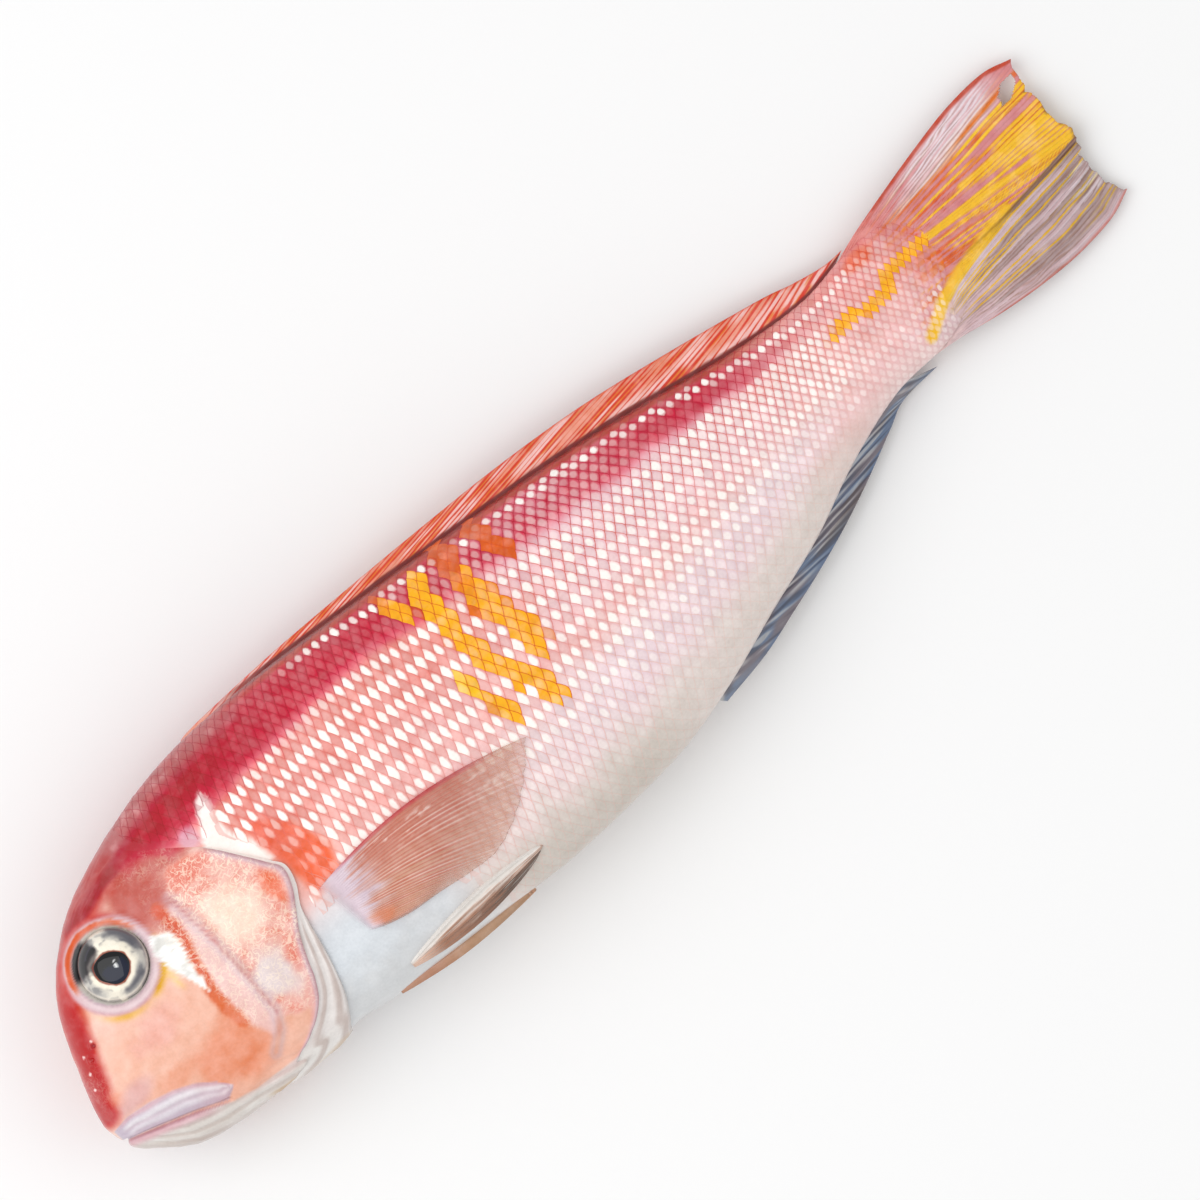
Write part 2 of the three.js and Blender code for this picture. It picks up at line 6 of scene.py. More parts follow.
import bpy
import numpy as np
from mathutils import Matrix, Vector


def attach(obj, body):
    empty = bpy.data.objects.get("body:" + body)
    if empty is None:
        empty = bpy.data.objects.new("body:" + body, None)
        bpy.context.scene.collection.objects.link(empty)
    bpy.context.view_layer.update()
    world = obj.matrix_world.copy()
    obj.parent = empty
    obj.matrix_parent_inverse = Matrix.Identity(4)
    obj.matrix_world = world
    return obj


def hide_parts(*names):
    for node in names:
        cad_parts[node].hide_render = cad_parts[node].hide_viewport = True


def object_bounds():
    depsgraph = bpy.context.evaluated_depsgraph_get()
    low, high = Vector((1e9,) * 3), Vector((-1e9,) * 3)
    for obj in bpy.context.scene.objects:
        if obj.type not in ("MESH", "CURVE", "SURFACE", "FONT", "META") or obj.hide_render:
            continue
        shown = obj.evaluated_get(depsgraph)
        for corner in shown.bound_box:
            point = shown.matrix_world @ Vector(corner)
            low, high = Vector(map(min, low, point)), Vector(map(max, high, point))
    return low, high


Array = np.ndarray
Object = bpy.types.Object
Node = bpy.types.Node
Socket = bpy.types.NodeSocket

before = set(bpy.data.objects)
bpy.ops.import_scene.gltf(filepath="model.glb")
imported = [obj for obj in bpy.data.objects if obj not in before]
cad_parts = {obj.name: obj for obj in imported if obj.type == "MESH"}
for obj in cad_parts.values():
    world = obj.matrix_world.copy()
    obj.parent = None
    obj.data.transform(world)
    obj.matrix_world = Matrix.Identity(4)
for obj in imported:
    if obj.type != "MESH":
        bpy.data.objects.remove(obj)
CAD_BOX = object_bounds()

log = logging.getLogger("tilefish")
MM = 0.001
BODY = "root"

# The solids' own driving sizes, in millimetres of fish coordinates: x from the snout to the tail,
# y from the snout's level towards the back, z over the table
TOTAL_LENGTH = 350.0
BACK_FULLNESS = 0.88
BELLY_FULLNESS = 0.72
# back point, belly point, half of the thickness, height of the middle
SECTIONS = (
    ((0.4, -3.0), (0.4, -3.0), 0.0, 21.3),
    ((0.2, 1.0), (1.6, -7.0), 3.6, 21.3),
    ((2.0, 6.8), (3.0, -9.8), 6.4, 21.3),
    ((5.0, 13.6), (5.6, -12.6), 9.2, 21.3),
    ((9.8, 23.8), (9.5, -16.3), 11.4, 21.3),
    ((15.5, 32.4), (15.0, -19.8), 13.3, 21.3),
    ((24.0, 39.8), (23.5, -22.6), 15.2, 21.3),
    ((35.0, 45.9), (35.0, -24.8), 17.2, 21.3),
    ((50.0, 50.4), (50.0, -28.2), 19.6, 21.3),
    ((65.0, 53.3), (65.0, -28.6), 21.4, 21.3),
    ((80.0, 54.2), (80.0, -29.8), 22.3, 21.3),
    ((95.0, 53.4), (95.0, -32.0), 22.5, 21.3),
    ((112.5, 51.4), (112.5, -34.5), 22.4, 21.2),
    ((130.0, 48.6), (130.0, -37.0), 22.0, 20.8),
    ((150.0, 45.2), (150.0, -38.1), 21.0, 19.9),
    ((170.0, 41.6), (170.0, -38.0), 19.6, 18.5),
    ((190.0, 37.8), (190.0, -34.8), 17.8, 16.8),
    ((210.0, 33.4), (210.0, -29.9), 15.6, 14.9),
    ((230.0, 28.1), (230.0, -25.4), 13.0, 13.0),
    ((250.0, 22.4), (250.0, -18.8), 10.2, 11.2),
    ((270.0, 18.8), (270.0, -14.6), 7.6, 9.5),
    ((287.0, 19.6), (287.0, -15.0), 5.0, 8.2),
    ((298.0, 18.0), (296.0, -13.0), 2.8, 7.4),
    ((306.0, 12.0), (303.0, -9.0), 0.8, 6.8),
)
LAST_SECTION = len(SECTIONS) - 1
TAIL_END_HEIGHT = 4.4
COVER_EDGE = (
    (51.5, 60), (53, 46), (61, 38), (68, 31), (72.5, 24), (76.2, 17.5), (78, 13.7), (76.2, 8.7),
    (72.5, 3.7), (68.8, -1.2), (65.5, -7.5), (63.6, -11.5), (60, -16.2), (53.7, -20), (45, -22.5),
    (34, -25), (26, -29), (24, -40),
)
MEMBRANE_EDGE = (
    (51.5, 60), (53, 46), (61, 38), (68.2, 31), (73, 24), (77, 17.5), (79, 13.7), (77.6, 8.7),
    (74.2, 3.7), (72.6, -1.2), (70.9, -7.5), (68.8, -13.7), (66.2, -20), (63, -25), (60.5, -29),
    (58, -40),
)
# level of the gill opening's top, steps down behind the gill cover and behind its membrane, the
# length over which the shoulder comes up again, and how far the trunk's skin lies inside the head
# and under the scales
GILL_TOP = 31.0
COVER_STEP = 0.7
SHOULDER_STEP = 2.1
SHOULDER_FADE = 15.0
HIDDEN_INSET = 3.0
SKIN_UNDER_SCALES = 0.3
# share of light that the wet surface throws back, which the paints leave out
REFLECTED = 0.035
# girth angle of the belly in degrees
BELLY_ANGLE = 180


class Side(Enum):
    """The flank that a piece lies on."""

    LEFT = 1
    RIGHT = -1


class Layer(Enum):
    """Lowest height in millimetres that each layer keeps over the table."""

    FIN = 0.0
    SCALE = 0.12
    SKIN = 0.25


@dataclass(frozen=True)
class Palette:
    """Colours of the fish as red, green and blue from 0 to 255, as the eye sees them."""

    crimson: tuple = (198, 64, 80)
    crimson_deep: tuple = (156, 34, 52)
    crimson_pink: tuple = (226, 104, 122)
    back_brown: tuple = (182, 108, 106)
    # groove is painted shade in the groove between the back and the dorsal fin
    groove: tuple = (112, 32, 22)
    back_rust: tuple = (176, 72, 54)
    rose: tuple = (238, 174, 168)
    rose_red: tuple = (222, 112, 102)
    # pearl: the white patch's own colour, and painted highlights on the scales, the pores and the head's back
    # edge
    pearl: tuple = (255, 248, 242)
    lilac: tuple = (230, 204, 218)
    lilac_deep: tuple = (222, 172, 190)
    blush: tuple = (234, 214, 212)
    belly: tuple = (222, 212, 205)
    breast: tuple = (216, 221, 226)
    gold: tuple = (252, 180, 2)
    amber: tuple = (218, 100, 4)
    pale_gold: tuple = (248, 204, 92)
    peach: tuple = (244, 188, 164)
    apricot: tuple = (238, 152, 120)
    shell: tuple = (247, 214, 202)
    snout_red: tuple = (190, 46, 56)
    brow: tuple = (204, 82, 78)
    nape: tuple = (182, 74, 76)
    orange: tuple = (234, 100, 62)
    # silver: the patch behind the eye and the chin; also painted highlights on the jaw's ridges and the pupil
    silver: tuple = (249, 249, 246)
    lavender: tuple = (194, 180, 194)
    lip_pink: tuple = (212, 166, 174)
    chin: tuple = (218, 211, 205)
    # painted shade in creases: the throat's folds, the chin's lower edge and the membrane's pleats
    fold: tuple = (176, 156, 148)
    membrane: tuple = (231, 227, 223)
    cover_red: tuple = (222, 112, 94)
    cover_grey: tuple = (226, 214, 214)
    cover_gold: tuple = (254, 236, 214)
    ray_orange: tuple = (216, 66, 34)
    fin_pink: tuple = (246, 196, 190)
    tail_yellow: tuple = (248, 192, 0)
    tail_red: tuple = (198, 84, 66)
    cheek_orange: tuple = (232, 136, 98)
    muscle: tuple = (198, 102, 94)
    yellow: tuple = (224, 166, 34)
    eye_lilac: tuple = (222, 200, 206)
    eye_orange: tuple = (214, 92, 52)
    # fleck_pink also serves as painted highlights near the back's edge
    fleck_pink: tuple = (236, 200, 198)
    band_red: tuple = (210, 84, 40)
    cover_pink: tuple = (234, 176, 164)
    # painted shade along grooves and under edges: the cheek's groove, the gill cover's edge, the mouth's line
    edge_shade_line: tuple = (178, 118, 128)
    cover_rim: tuple = (232, 178, 176)
    chin_pink: tuple = (226, 196, 192)
    # painted shade in grooves: between the upper jaw's ridges and round the eye socket
    violet_painted_shade: tuple = (186, 160, 172)
    right_gill: tuple = (198, 168, 136)
    # painted shade for the belly's edge, which turns away from the light
    belly_painted_shade: tuple = (198, 190, 180)
    # painted shade for the breast's lower edge, which turns away from the light
    breast_painted_shade: tuple = (202, 200, 198)
    line_red: tuple = (220, 104, 90)
    line_peach: tuple = (236, 196, 184)
    tail_orange: tuple = (226, 104, 20)
    tail_deep: tuple = (206, 122, 16)
    tail_white: tuple = (240, 230, 236)
    tail_brown: tuple = (150, 108, 88)
    tail_pink: tuple = (216, 140, 142)
    tail_lilac: tuple = (212, 182, 186)
    tail_grey: tuple = (176, 152, 150)
    brown: tuple = (112, 78, 62)
    slate: tuple = (116, 108, 116)
    slate_blue: tuple = (94, 118, 150)
    slate_pale: tuple = (196, 194, 192)
    fin_lilac: tuple = (219, 200, 210)
    fin_red: tuple = (196, 112, 98)
    fin_tan: tuple = (212, 160, 134)
    fin_white: tuple = (226, 220, 214)
    fin_dark: tuple = (100, 86, 78)
    fin_pale: tuple = (238, 206, 192)
    fin_salmon: tuple = (232, 134, 104)
    slate_dark: tuple = (52, 50, 62)
    # iris colours; the gold, dark and shade ones also serve as painted highlights and reflections
    iris_silver: tuple = (196, 192, 184)
    iris_gold: tuple = (250, 242, 224)
    iris_dark: tuple = (36, 32, 38)
    iris_shade: tuple = (92, 92, 100)
    iris_ring: tuple = (140, 66, 50)
    pupil: tuple = (10, 12, 20)
    # pupil_blue: painted reflection in the pupil's lower half
    pupil_blue: tuple = (48, 62, 82)


PALETTE = Palette()


def colour(name: str) -> Array:
    """Return a palette colour as three numbers from 0 to 1."""
    return np.array(getattr(PALETTE, name), dtype=float) / 255.0


def to_linear(rgb: Array) -> Array:
    """Turn colours as seen into linear paints, less what the wet surface reflects.

    Args:
        rgb: Colours from 0 to 1, as seen.

    Returns:
        The paints' linear colours.
    """
    rgb = np.clip(rgb, 0.0, 1.0)
    linear = np.where(rgb <= 0.04045, rgb / 12.92, ((rgb + 0.055) / 1.055) ** 2.4)
    return np.maximum((linear - REFLECTED) / (1.0 - REFLECTED), 0.25 * linear)


def smooth(start: float, end: float, value: Array) -> Array:
    """Rise softly from 0 at start to 1 at end, or fall when end is below start."""
    share = np.clip((value - start) / (end - start), 0.0, 1.0)
    return share * share * (3.0 - 2.0 * share)


def bump(value: Array, width: float) -> Array:
    """Return 1 where value is 0, falling off as a bell over the width."""
    return np.exp(-((value / width) ** 2))


def lerp(low: Array, high: Array, share: Array) -> Array:
    """Blend from low to high by a share."""
    return low + (high - low) * share


class SmoothCurve:
    """A smooth curve through points, spaced evenly from 0 to 1."""

    def __init__(self, points: tuple) -> None:
        """Keep the points and one more beyond each end.

        Args:
            points: The places that the curve passes, each with the same number of values.
        """
        places = np.array(points, dtype=float)
        first = 2.0 * places[0] - places[1]
        last = 2.0 * places[-1] - places[-2]
        self.places = np.vstack([first, places, last])
        self.spans = len(places) - 1

    def at(self, share: Array) -> Array:
        """Return the curve's place at each share of its way.

        Args:
            share: Numbers from 0 to 1.

        Returns:
            An array with one more axis than share, for the coordinates.
        """
        spot = np.clip(np.asarray(share, dtype=float), 0.0, 1.0) * self.spans
        span = np.minimum(spot.astype(int), self.spans - 1)
        t = (spot - span)[..., None]
        p0, p1, p2, p3 = (self.places[span + i] for i in range(4))
        m1 = 0.5 * (p2 - p0)
        m2 = 0.5 * (p3 - p1)
        cubic = (2 * p1 - 2 * p2 + m1 + m2) * t**3 + (3 * p2 - 3 * p1 - 2 * m1 - m2) * t**2
        return cubic + m1 * t + p1

    def samples(self, count: int) -> Array:
        """Return evenly shared places along the curve."""
        return self.at(np.linspace(0.0, 1.0, count))

    def value_at(self, x: Array) -> Array:
        """Return the second coordinate where the first, which only grows, equals x."""
        table = self.samples(2000)
        return np.interp(x, table[:, 0], table[:, 1])


def read_line(points: tuple, x: Array) -> Array:
    """Return the second coordinate of a polyline, whose first only grows, at each x."""
    return np.interp(x, *np.transpose(points))


def waves(turns: Array) -> Array:
    """Return a wave from 0 to 1 that is 1 at each whole number of turns."""
    return 0.5 + 0.5 * np.cos(2 * math.pi * turns)


def oval(x: Array, y: Array, centre: tuple, radii: tuple) -> Array:
    """Return the distance from an oval's centre, counted so that it is 1 on the oval's border."""
    return np.hypot((x - centre[0]) / radii[0], (y - centre[1]) / radii[1])


def distance_to(path: tuple | Array, x: Array, y: Array) -> tuple[Array, Array]:
    """Measure how far points are from a polyline.

    Args:
        path: The polyline's points.
        x: First coordinate of the points.
        y: Second coordinate of the points.

    Returns:
        The distances, and the share of the way along the path of each nearest place.
    """
    path = np.asarray(path, dtype=float)
    best = np.full(np.shape(x), np.inf)
    share = np.zeros(np.shape(x))
    steps = len(path) - 1
    for i in range(steps):
        ax, ay = path[i]
        dx, dy = path[i + 1] - path[i]
        t = np.clip(((x - ax) * dx + (y - ay) * dy) / max(dx * dx + dy * dy, 1e-12), 0.0, 1.0)
        away = np.hypot(x - ax - t * dx, y - ay - t * dy)
        nearer = away < best
        best = np.where(nearer, away, best)
        share = np.where(nearer, (i + t) / steps, share)
    return best, share


def depth_inside(outline: tuple, x: Array, y: Array) -> Array:
    """Return the distance to an outline, positive inside it and negative outside.

    Args:
        outline: The outline's corners in order.
        x: First coordinate of the points.
        y: Second coordinate of the points.

    Returns:
        The signed distances.
    """
    corners = np.array(outline, dtype=float)
    ring = np.vstack([corners, corners[:1]])
    away, _ = distance_to(ring, x, y)
    within = np.zeros(np.shape(x), dtype=bool)
    for (ax, ay), (bx, by) in zip(ring[:-1], ring[1:]):
        crosses = (ay > y) != (by > y)
        height = by - ay if by != ay else 1e-12
        within ^= crosses & (x < ax + (y - ay) * (bx - ax) / height)
    return np.where(within, away, -away)


class SoftNoise:
    """Smooth noise from -1 to 1 over a plane, the same on each run."""

    def __init__(self, seed: int) -> None:
        """Fill a square lattice with seeded numbers."""
        self.lattice = np.random.default_rng(seed).uniform(-1.0, 1.0, (64, 64))

    def at(self, x: Array, y: Array) -> Array:
        """Return two turned layers of noise at places counted in lattice cells."""
        broad = self.layer(0.87 * x + 0.5 * y, 0.87 * y - 0.5 * x)
        return 0.75 * broad + 0.45 * self.layer(0.9 * x - 1.2 * y + 9.7, 1.2 * x + 0.9 * y + 4.1)

    def layer(self, x: Array, y: Array) -> Array:
        """Return one layer of noise.

        Args:
            x: Places across, counted in lattice cells.
            y: Places up, counted in lattice cells.

        Returns:
            Numbers from -1 to 1.
        """
        column = np.floor(x).astype(int)
        row = np.floor(y).astype(int)
        across = x - column
        up = y - row
        across = across * across * (3 - 2 * across)
        up = up * up * (3 - 2 * up)
        grid = self.lattice
        low = lerp(grid[row % 64, column % 64], grid[row % 64, (column + 1) % 64], across)
        high = lerp(grid[(row + 1) % 64, column % 64], grid[(row + 1) % 64, (column + 1) % 64], across)
        return lerp(low, high, up)


class Paint:
    """Colours of many points, laid one over another."""

    def __init__(self, count: int, base: str) -> None:
        """Cover all points with one palette colour."""
        self.rgb = np.tile(colour(base), (count, 1))

    def lay(self, name: str, mask: Array) -> None:
        """Lay a palette colour over the points, as far as a mask from 0 to 1 says."""
        self.rgb += (colour(name) - self.rgb) * np.clip(mask, 0.0, 1.0)[:, None]


class BodyForm:
    """The fish's nominal skin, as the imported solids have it."""

    def __init__(self) -> None:
        """Set up the curves of the sections and the place of the fish in the frame."""
        self.backs = SmoothCurve(tuple((*s[0], s[2]) for s in SECTIONS))
        self.bellies = SmoothCurve(tuple((*s[1], s[3]) for s in SECTIONS))
        self.cover = SmoothCurve(tuple((-y, x) for x, y in COVER_EDGE))
        self.membrane = SmoothCurve(tuple((-y, x) for x, y in MEMBRANE_EDGE))
        places = np.linspace(1.5, LAST_SECTION, 1500)
        back = self.backs.at(places / LAST_SECTION)
        belly = self.bellies.at(places / LAST_SECTION)
        self.table_place = places
        level = np.clip((10.0 - belly[:, 1]) / (back[:, 1] - belly[:, 1]), 0.0, 1.0)
        self.table_x = lerp(belly[:, 0], back[:, 0], level)
        low, high = CAD_BOX
        self.shift_x = high[0] / MM - TOTAL_LENGTH
        self.shift_y = low[1] / MM - belly[:, 1].min()

    def place_at(self, x: Array) -> Array:
        """Return the place, counted in sections, of each x."""
        return np.interp(x, self.table_x, self.table_place)

    def section(self, place: Array) -> tuple[Array, Array]:
        """Return the back's and the belly's values of the sections at some places."""
        share = np.asarray(place) / LAST_SECTION
        return self.backs.at(share), self.bellies.at(share)

    def skin(self, place: Array, angle: Array) -> Array:
        """Return points of the nominal skin.

        Args:
            place: Places counted in sections from the snout.
            angle: Girth angles, 0 at the back and a quarter turn on the left flank.

        Returns:
            Points in millimetres of fish coordinates.
        """
        back, belly = self.section(place)
        across = np.cos(angle)
        sine = np.sin(angle)
        fullness = np.where(across > 0, BACK_FULLNESS, BELLY_FULLNESS)
        rise = np.maximum(back[..., 2], 0.0) * np.abs(sine) ** fullness * np.sign(sine)
        share = (1.0 + across) / 2.0
        x = lerp(belly[..., 0], back[..., 0], share)
        y = lerp(belly[..., 1], back[..., 1], share)
        return np.stack([x, y, belly[..., 2] + rise], axis=-1)

    def normal(self, place: Array, angle: Array) -> Array:
        """Return the ways out of the nominal skin.

        Args:
            place: Places counted in sections from the snout.
            angle: Girth angles.

        Returns:
            Unit vectors.
        """
        step = 0.02
        along = self.skin(place + step, angle) - self.skin(place - step, angle)
        around = self.skin(place, angle + step) - self.skin(place, angle - step)
        out = np.cross(around, along)
        return out / np.maximum(np.linalg.norm(out, axis=-1, keepdims=True), 1e-9)

    def lifted(self, place: Array, angle: Array, out: Array) -> Array:
        """Return points over the nominal skin by a height in millimetres."""
        return self.skin(place, angle) + self.normal(place, angle) * np.asarray(out)[..., None]

    def locate(self, x: Array, y: Array, side: Side) -> tuple[Array, Array]:
        """Find the place and the girth angle of fish coordinates on one flank.

        Args:
            x: Distances from the snout in millimetres.
            y: Levels in millimetres.
            side: The flank.

        Returns:
            The places and the girth angles.
        """
        low = np.zeros(np.shape(x))
        high = np.full(np.shape(x), float(LAST_SECTION))
        across = np.zeros(np.shape(x))
        for _ in range(30):
            middle = (low + high) / 2
            back, belly = self.section(middle)
            centre = (back[..., :2] + belly[..., :2]) / 2
            half = (back[..., :2] - belly[..., :2]) / 2
            dx = x - centre[..., 0]
            dy = y - centre[..., 1]
            length = np.maximum((half**2).sum(axis=-1), 1e-9)
            across = (dx * half[..., 0] + dy * half[..., 1]) / length
            ahead = dx * half[..., 1] - dy * half[..., 0] > 0
            low = np.where(ahead, middle, low)
            high = np.where(ahead, high, middle)
        angle = np.arccos(np.clip(across, -0.999, 0.999))
        return low, angle if side is Side.LEFT else 2 * math.pi - angle

    def spine_height(self, x: Array) -> Array:
        """Return the height of the spine's plane, also through the tail fin.

        Args:
            x: Distances from the snout.

        Returns:
            Heights over the table in millimetres.
        """
        end_x = SECTIONS[-1][0][0]
        end_height = SECTIONS[-1][3]
        _, belly = self.section(self.place_at(x))
        tail = lerp(end_height, TAIL_END_HEIGHT, (x - end_x) / (TOTAL_LENGTH - end_x))
        return np.where(x > end_x, tail, belly[..., 2])

    def trunk_inset(self, points: Array) -> Array:
        """Return how far the shoulder lies under the nominal skin.

        Args:
            points: Points of the nominal skin.

        Returns:
            Depths in millimetres.
        """
        behind = points[..., 0] - self.membrane.value_at(-points[..., 1])
        below = 1.0 - smooth(GILL_TOP - 5, GILL_TOP + 3, points[..., 1])
        shoulder = SHOULDER_STEP * below * (1.0 - smooth(0.0, SHOULDER_FADE, behind))
        return lerp(HIDDEN_INSET, np.maximum(shoulder, 0.05 * (behind < 0)), smooth(-7, -3, behind))

    def to_frame(self, points: Array, layer: Layer) -> Array:
        """Turn fish coordinates into metres of the shared frame, kept over the table.

        Args:
            points: Points in fish millimetres.
            layer: The layer, which has its lowest height.

        Returns:
            Points in metres, inside the solids' box.
        """
        shifted = points + np.array([self.shift_x, self.shift_y, 0.0])
        shifted[..., 2] = np.maximum(shifted[..., 2], layer.value)
        return np.clip(shifted * MM, *np.array(CAD_BOX))


FORM = BodyForm()


def new_object(name: str, points: Array, faces: Array | list, smooth_shading: bool = True) -> Object:
    """Make a mesh object from points in metres and faces.

    Args:
        name: The object's name.
        points: Vertices in metres.
        faces: Vertex numbers of each face.
        smooth_shading: Whether the faces are shaded smoothly.

    Returns:
        The new object, linked to the scene.
    """
    mesh = bpy.data.meshes.new(name)
    mesh.from_pydata(points.tolist(), [], faces.tolist() if isinstance(faces, Array) else faces)
    mesh.update()
    if smooth_shading:
        mesh.shade_smooth()
    made = bpy.data.objects.new(name, mesh)
    bpy.context.scene.collection.objects.link(made)
    return made


def signed_volume(points: Array, faces: list) -> float:
    """Return the volume that faces enclose, negative where they point inwards.

    Args:
        points: The vertices.
        faces: Vertex numbers of each face.

    Returns:
        The signed volume.
    """
    total = 0.0
    for face in faces:
        corners = points[np.asarray(face)]
        first = corners[0]
        for i in range(1, len(face) - 1):
            total += float(np.dot(first, np.cross(corners[i], corners[i + 1])))
    return total / 6.0


def set_colours(target: Object, name: str, rgb: Array) -> None:
    """Store display colours at the vertices, as linear colours.

    Args:
        target: The object.
        name: The attribute's name.
        rgb: One colour for each vertex, from 0 to 1.
    """
    layer = target.data.attributes.new(name, "FLOAT_COLOR", "POINT")
    rgba = np.ones((len(rgb), 4), dtype=np.float32)
    rgba[:, :3] = to_linear(rgb)
    layer.data.foreach_set("color", rgba.ravel())


def set_values(target: Object, name: str, values: Array) -> None:
    """Store one number at each vertex."""
    layer = target.data.attributes.new(name, "FLOAT", "POINT")
    layer.data.foreach_set("value", np.asarray(values, dtype=np.float32))


def tube_faces(rings: int, around: int) -> list:
    """Return the faces of a closed loft whose first and last vertices are its two end points.

    Args:
        rings: How many rings the loft has.
        around: How many vertices a ring has.

    Returns:
        Vertex numbers of each face.
    """
    k = np.arange(around)
    after = (k + 1) % around
    quads = []
    for ring in range(rings - 1):
        a = 1 + ring * around
        b = a + around
        quads.append(np.stack([a + k, a + after, b + after, b + k], axis=1))
    faces = np.concatenate(quads).tolist()
    faces += np.stack([np.zeros(around, dtype=int), 1 + after, 1 + k], axis=1).tolist()
    last = 1 + (rings - 1) * around
    faces += np.stack([np.full(around, 1 + rings * around), last + k, last + after], axis=1).tolist()
    return faces


def sheet_faces(rows: int, columns: int) -> list:
    """Return the faces of a thin closed sheet with a front and a rear grid of vertices.

    Args:
        rows: How many rows of vertices each grid has.
        columns: How many columns each grid has.

    Returns:
        Vertex numbers of each face.
    """
    i, j = np.meshgrid(np.arange(rows - 1), np.arange(columns - 1), indexing="ij")
    a = (i * columns + j).ravel()
    front = np.stack([a, a + columns, a + columns + 1, a + 1], axis=1)
    rear = front[:, ::-1] + rows * columns
    rim = list(range(columns - 1))
    rim += [row * columns + columns - 1 for row in range(rows - 1)]
    rim += [(rows - 1) * columns + column for column in range(columns - 1, 0, -1)]
    rim += [row * columns for row in range(rows - 1, 0, -1)]
    around = np.array(rim)
    after = np.roll(around, -1)
    side = np.stack([around, after, after + rows * columns, around + rows * columns], axis=1)
    return np.concatenate([front, rear, side]).tolist()


def outward(points: Array, faces: list) -> list:
    """Return the faces turned so that they point outwards."""
    return faces if signed_volume(points, faces) > 0 else [face[::-1] for face in faces]


class Field:
    """Colours and marks of the skin by fish coordinates in millimetres."""

    crimson_edge = SmoothCurve(((50, 38), (62, 37), (75, 37), (100, 37.2), (125, 36.3), (150, 32),
                                (175, 27.6), (200, 23.2), (225, 18.8), (250, 15), (272, 13.2), (290, 16)))
    flank_mid = SmoothCurve(((50, 13), (75, 12.5), (100, 10.3), (125, 7.8), (150, 6), (175, 4.3), (200, 3.4),
                             (225, 3), (250, 3.2), (275, 2.8), (300, 2.5)))
    gold_bars = (
        (((142, 43), (142.8, 39), (144.2, 34.5)), 2.1, "amber", "gold"),
        (((152, 38.5), (150.5, 30), (149.8, 24), (150.8, 17.5), (151.3, 11), (153.5, 5), (156, 0),
          (157.5, -4.5)), 2.8, "gold", "gold"),
        (((161.5, 41), (161, 31), (161.5, 21), (162.5, 12), (162.5, 6)), 2.9, "amber", "gold"),
        (((171, 39), (172, 34), (173.5, 29.5)), 2.6, "amber", "amber"),
        (((142, 15), (143, 8), (144.8, 3), (146, -3)), 1.9, "pale_gold", "gold"),
        (((268, 6.5), (275, 7.2), (281, 5.6), (287, 5.2), (290, 8.8), (295, 8.2), (301, 7.6), (306, 6.2)),
         1.4, "gold", "gold"),
    )
    tail_upper = ((281, 18.6), (304, 23.2), (318, 25.2), (330, 26.4), (342, 26), (350, 23.3))
    tail_lower = ((281, -14.2), (303, -19.4), (315, -21.7), (327, -23), (339, -22.6), (347, -20.3))
    tail_fold = ((286, -11.5), (290, -9.5), (293.7, -7.5), (300, -5.6), (310, -3.9), (322, -2.6), (335, -2.3),
                 (350, -1.6))
    silver_patch = (
        (42.4, 26), (44.5, 24.6), (47.2, 23), (46.9, 18.3), (45.4, 13.6), (44.4, 8.9), (43.2, 4.6),
        (42.4, 8.1), (41.3, 12.8), (40.1, 17.5), (40.1, 22.2), (41.2, 24.6),
    )
    gill_plate = (
        (52.8, 30), (58, 35), (68, 31.5), (76, 19), (79, 13.8), (75, 6), (66, -7.5), (60, -17), (51, -12.5),
        (52.8, 5), (53, 22.5),
    )
    white_patch = (
        (67, 30.5), (71, 36), (74, 40.5), (76.8, 42), (77.5, 38.8), (75.6, 34), (75, 30), (77.5, 25),
        (78.5, 16.8), (74, 17.5), (71, 22.5), (68, 26.8),
    )
    orange_patch = ((77.5, 28), (82, 27), (88, 20), (91, 10), (88, 3), (79, 2.5), (78.5, 14))
    lip_line = ((1.0, -5.7), (1.9, -5.9), (5, -7.2), (12.5, -10.4), (19, -13.3), (24, -16), (27.5, -18),
                (34, -20), (44, -21.5), (54, -23))
    jaw_upper = ((1.0, -1.8), (6, -1.6), (12.5, -2.9), (19, -5.2), (24, -7.9), (28, -11.4), (30, -14.6))
    jaw_lower = ((1.5, -5.5), (6, -7.1), (12.5, -9.9), (19, -12.7), (24, -15.2), (27, -16.8), (30, -15.4))
    head_back = ((0, 2), (5, 13.6), (10, 24), (15.5, 32.4), (24, 39.8), (35, 45.9), (50, 50.4), (65, 53.3),
                 (80, 54.2))
    head_belly = ((0.4, -3), (3, -9.8), (9.5, -16.3), (15, -19.8), (23.5, -22.6), (35, -24.8), (50, -28.2),
                  (65, -28.6), (80, -29.8))
    eye = (30.6, 27.6)
    head_tone = (0.965, 0.935, 0.92)

    def __init__(self) -> None:
        """Seed the noises that roughen the colours' borders."""
        self.coarse = SoftNoise(11)
        self.fine = SoftNoise(23)

    def rough(self, x: Array, y: Array, size: float) -> Array:
        """Return two octaves of noise whose larger cells have a size in millimetres."""
        return 0.65 * self.coarse.at(x / size, y / size) + 0.35 * self.fine.at(2.3 * x / size, 2.3 * y / size)

    def levels(self, x: Array, y: Array) -> tuple[Array, Array, Array]:
        """Measure points against the back, the flank's middle and the belly.

        Args:
            x: Distances from the snout.
            y: Levels.

        Returns:
            The shares of the way from the middle to the back and to the belly, and the distance
            from the back's edge.
        """
        back, belly = FORM.section(FORM.place_at(x))
        mid = self.flank_mid.value_at(x)
        over = (y - mid) / np.maximum(back[:, 1] - mid, 1.0)
        under = (mid - y) / np.maximum(mid - belly[:, 1], 1.0)
        return over, under, back[:, 1] - y

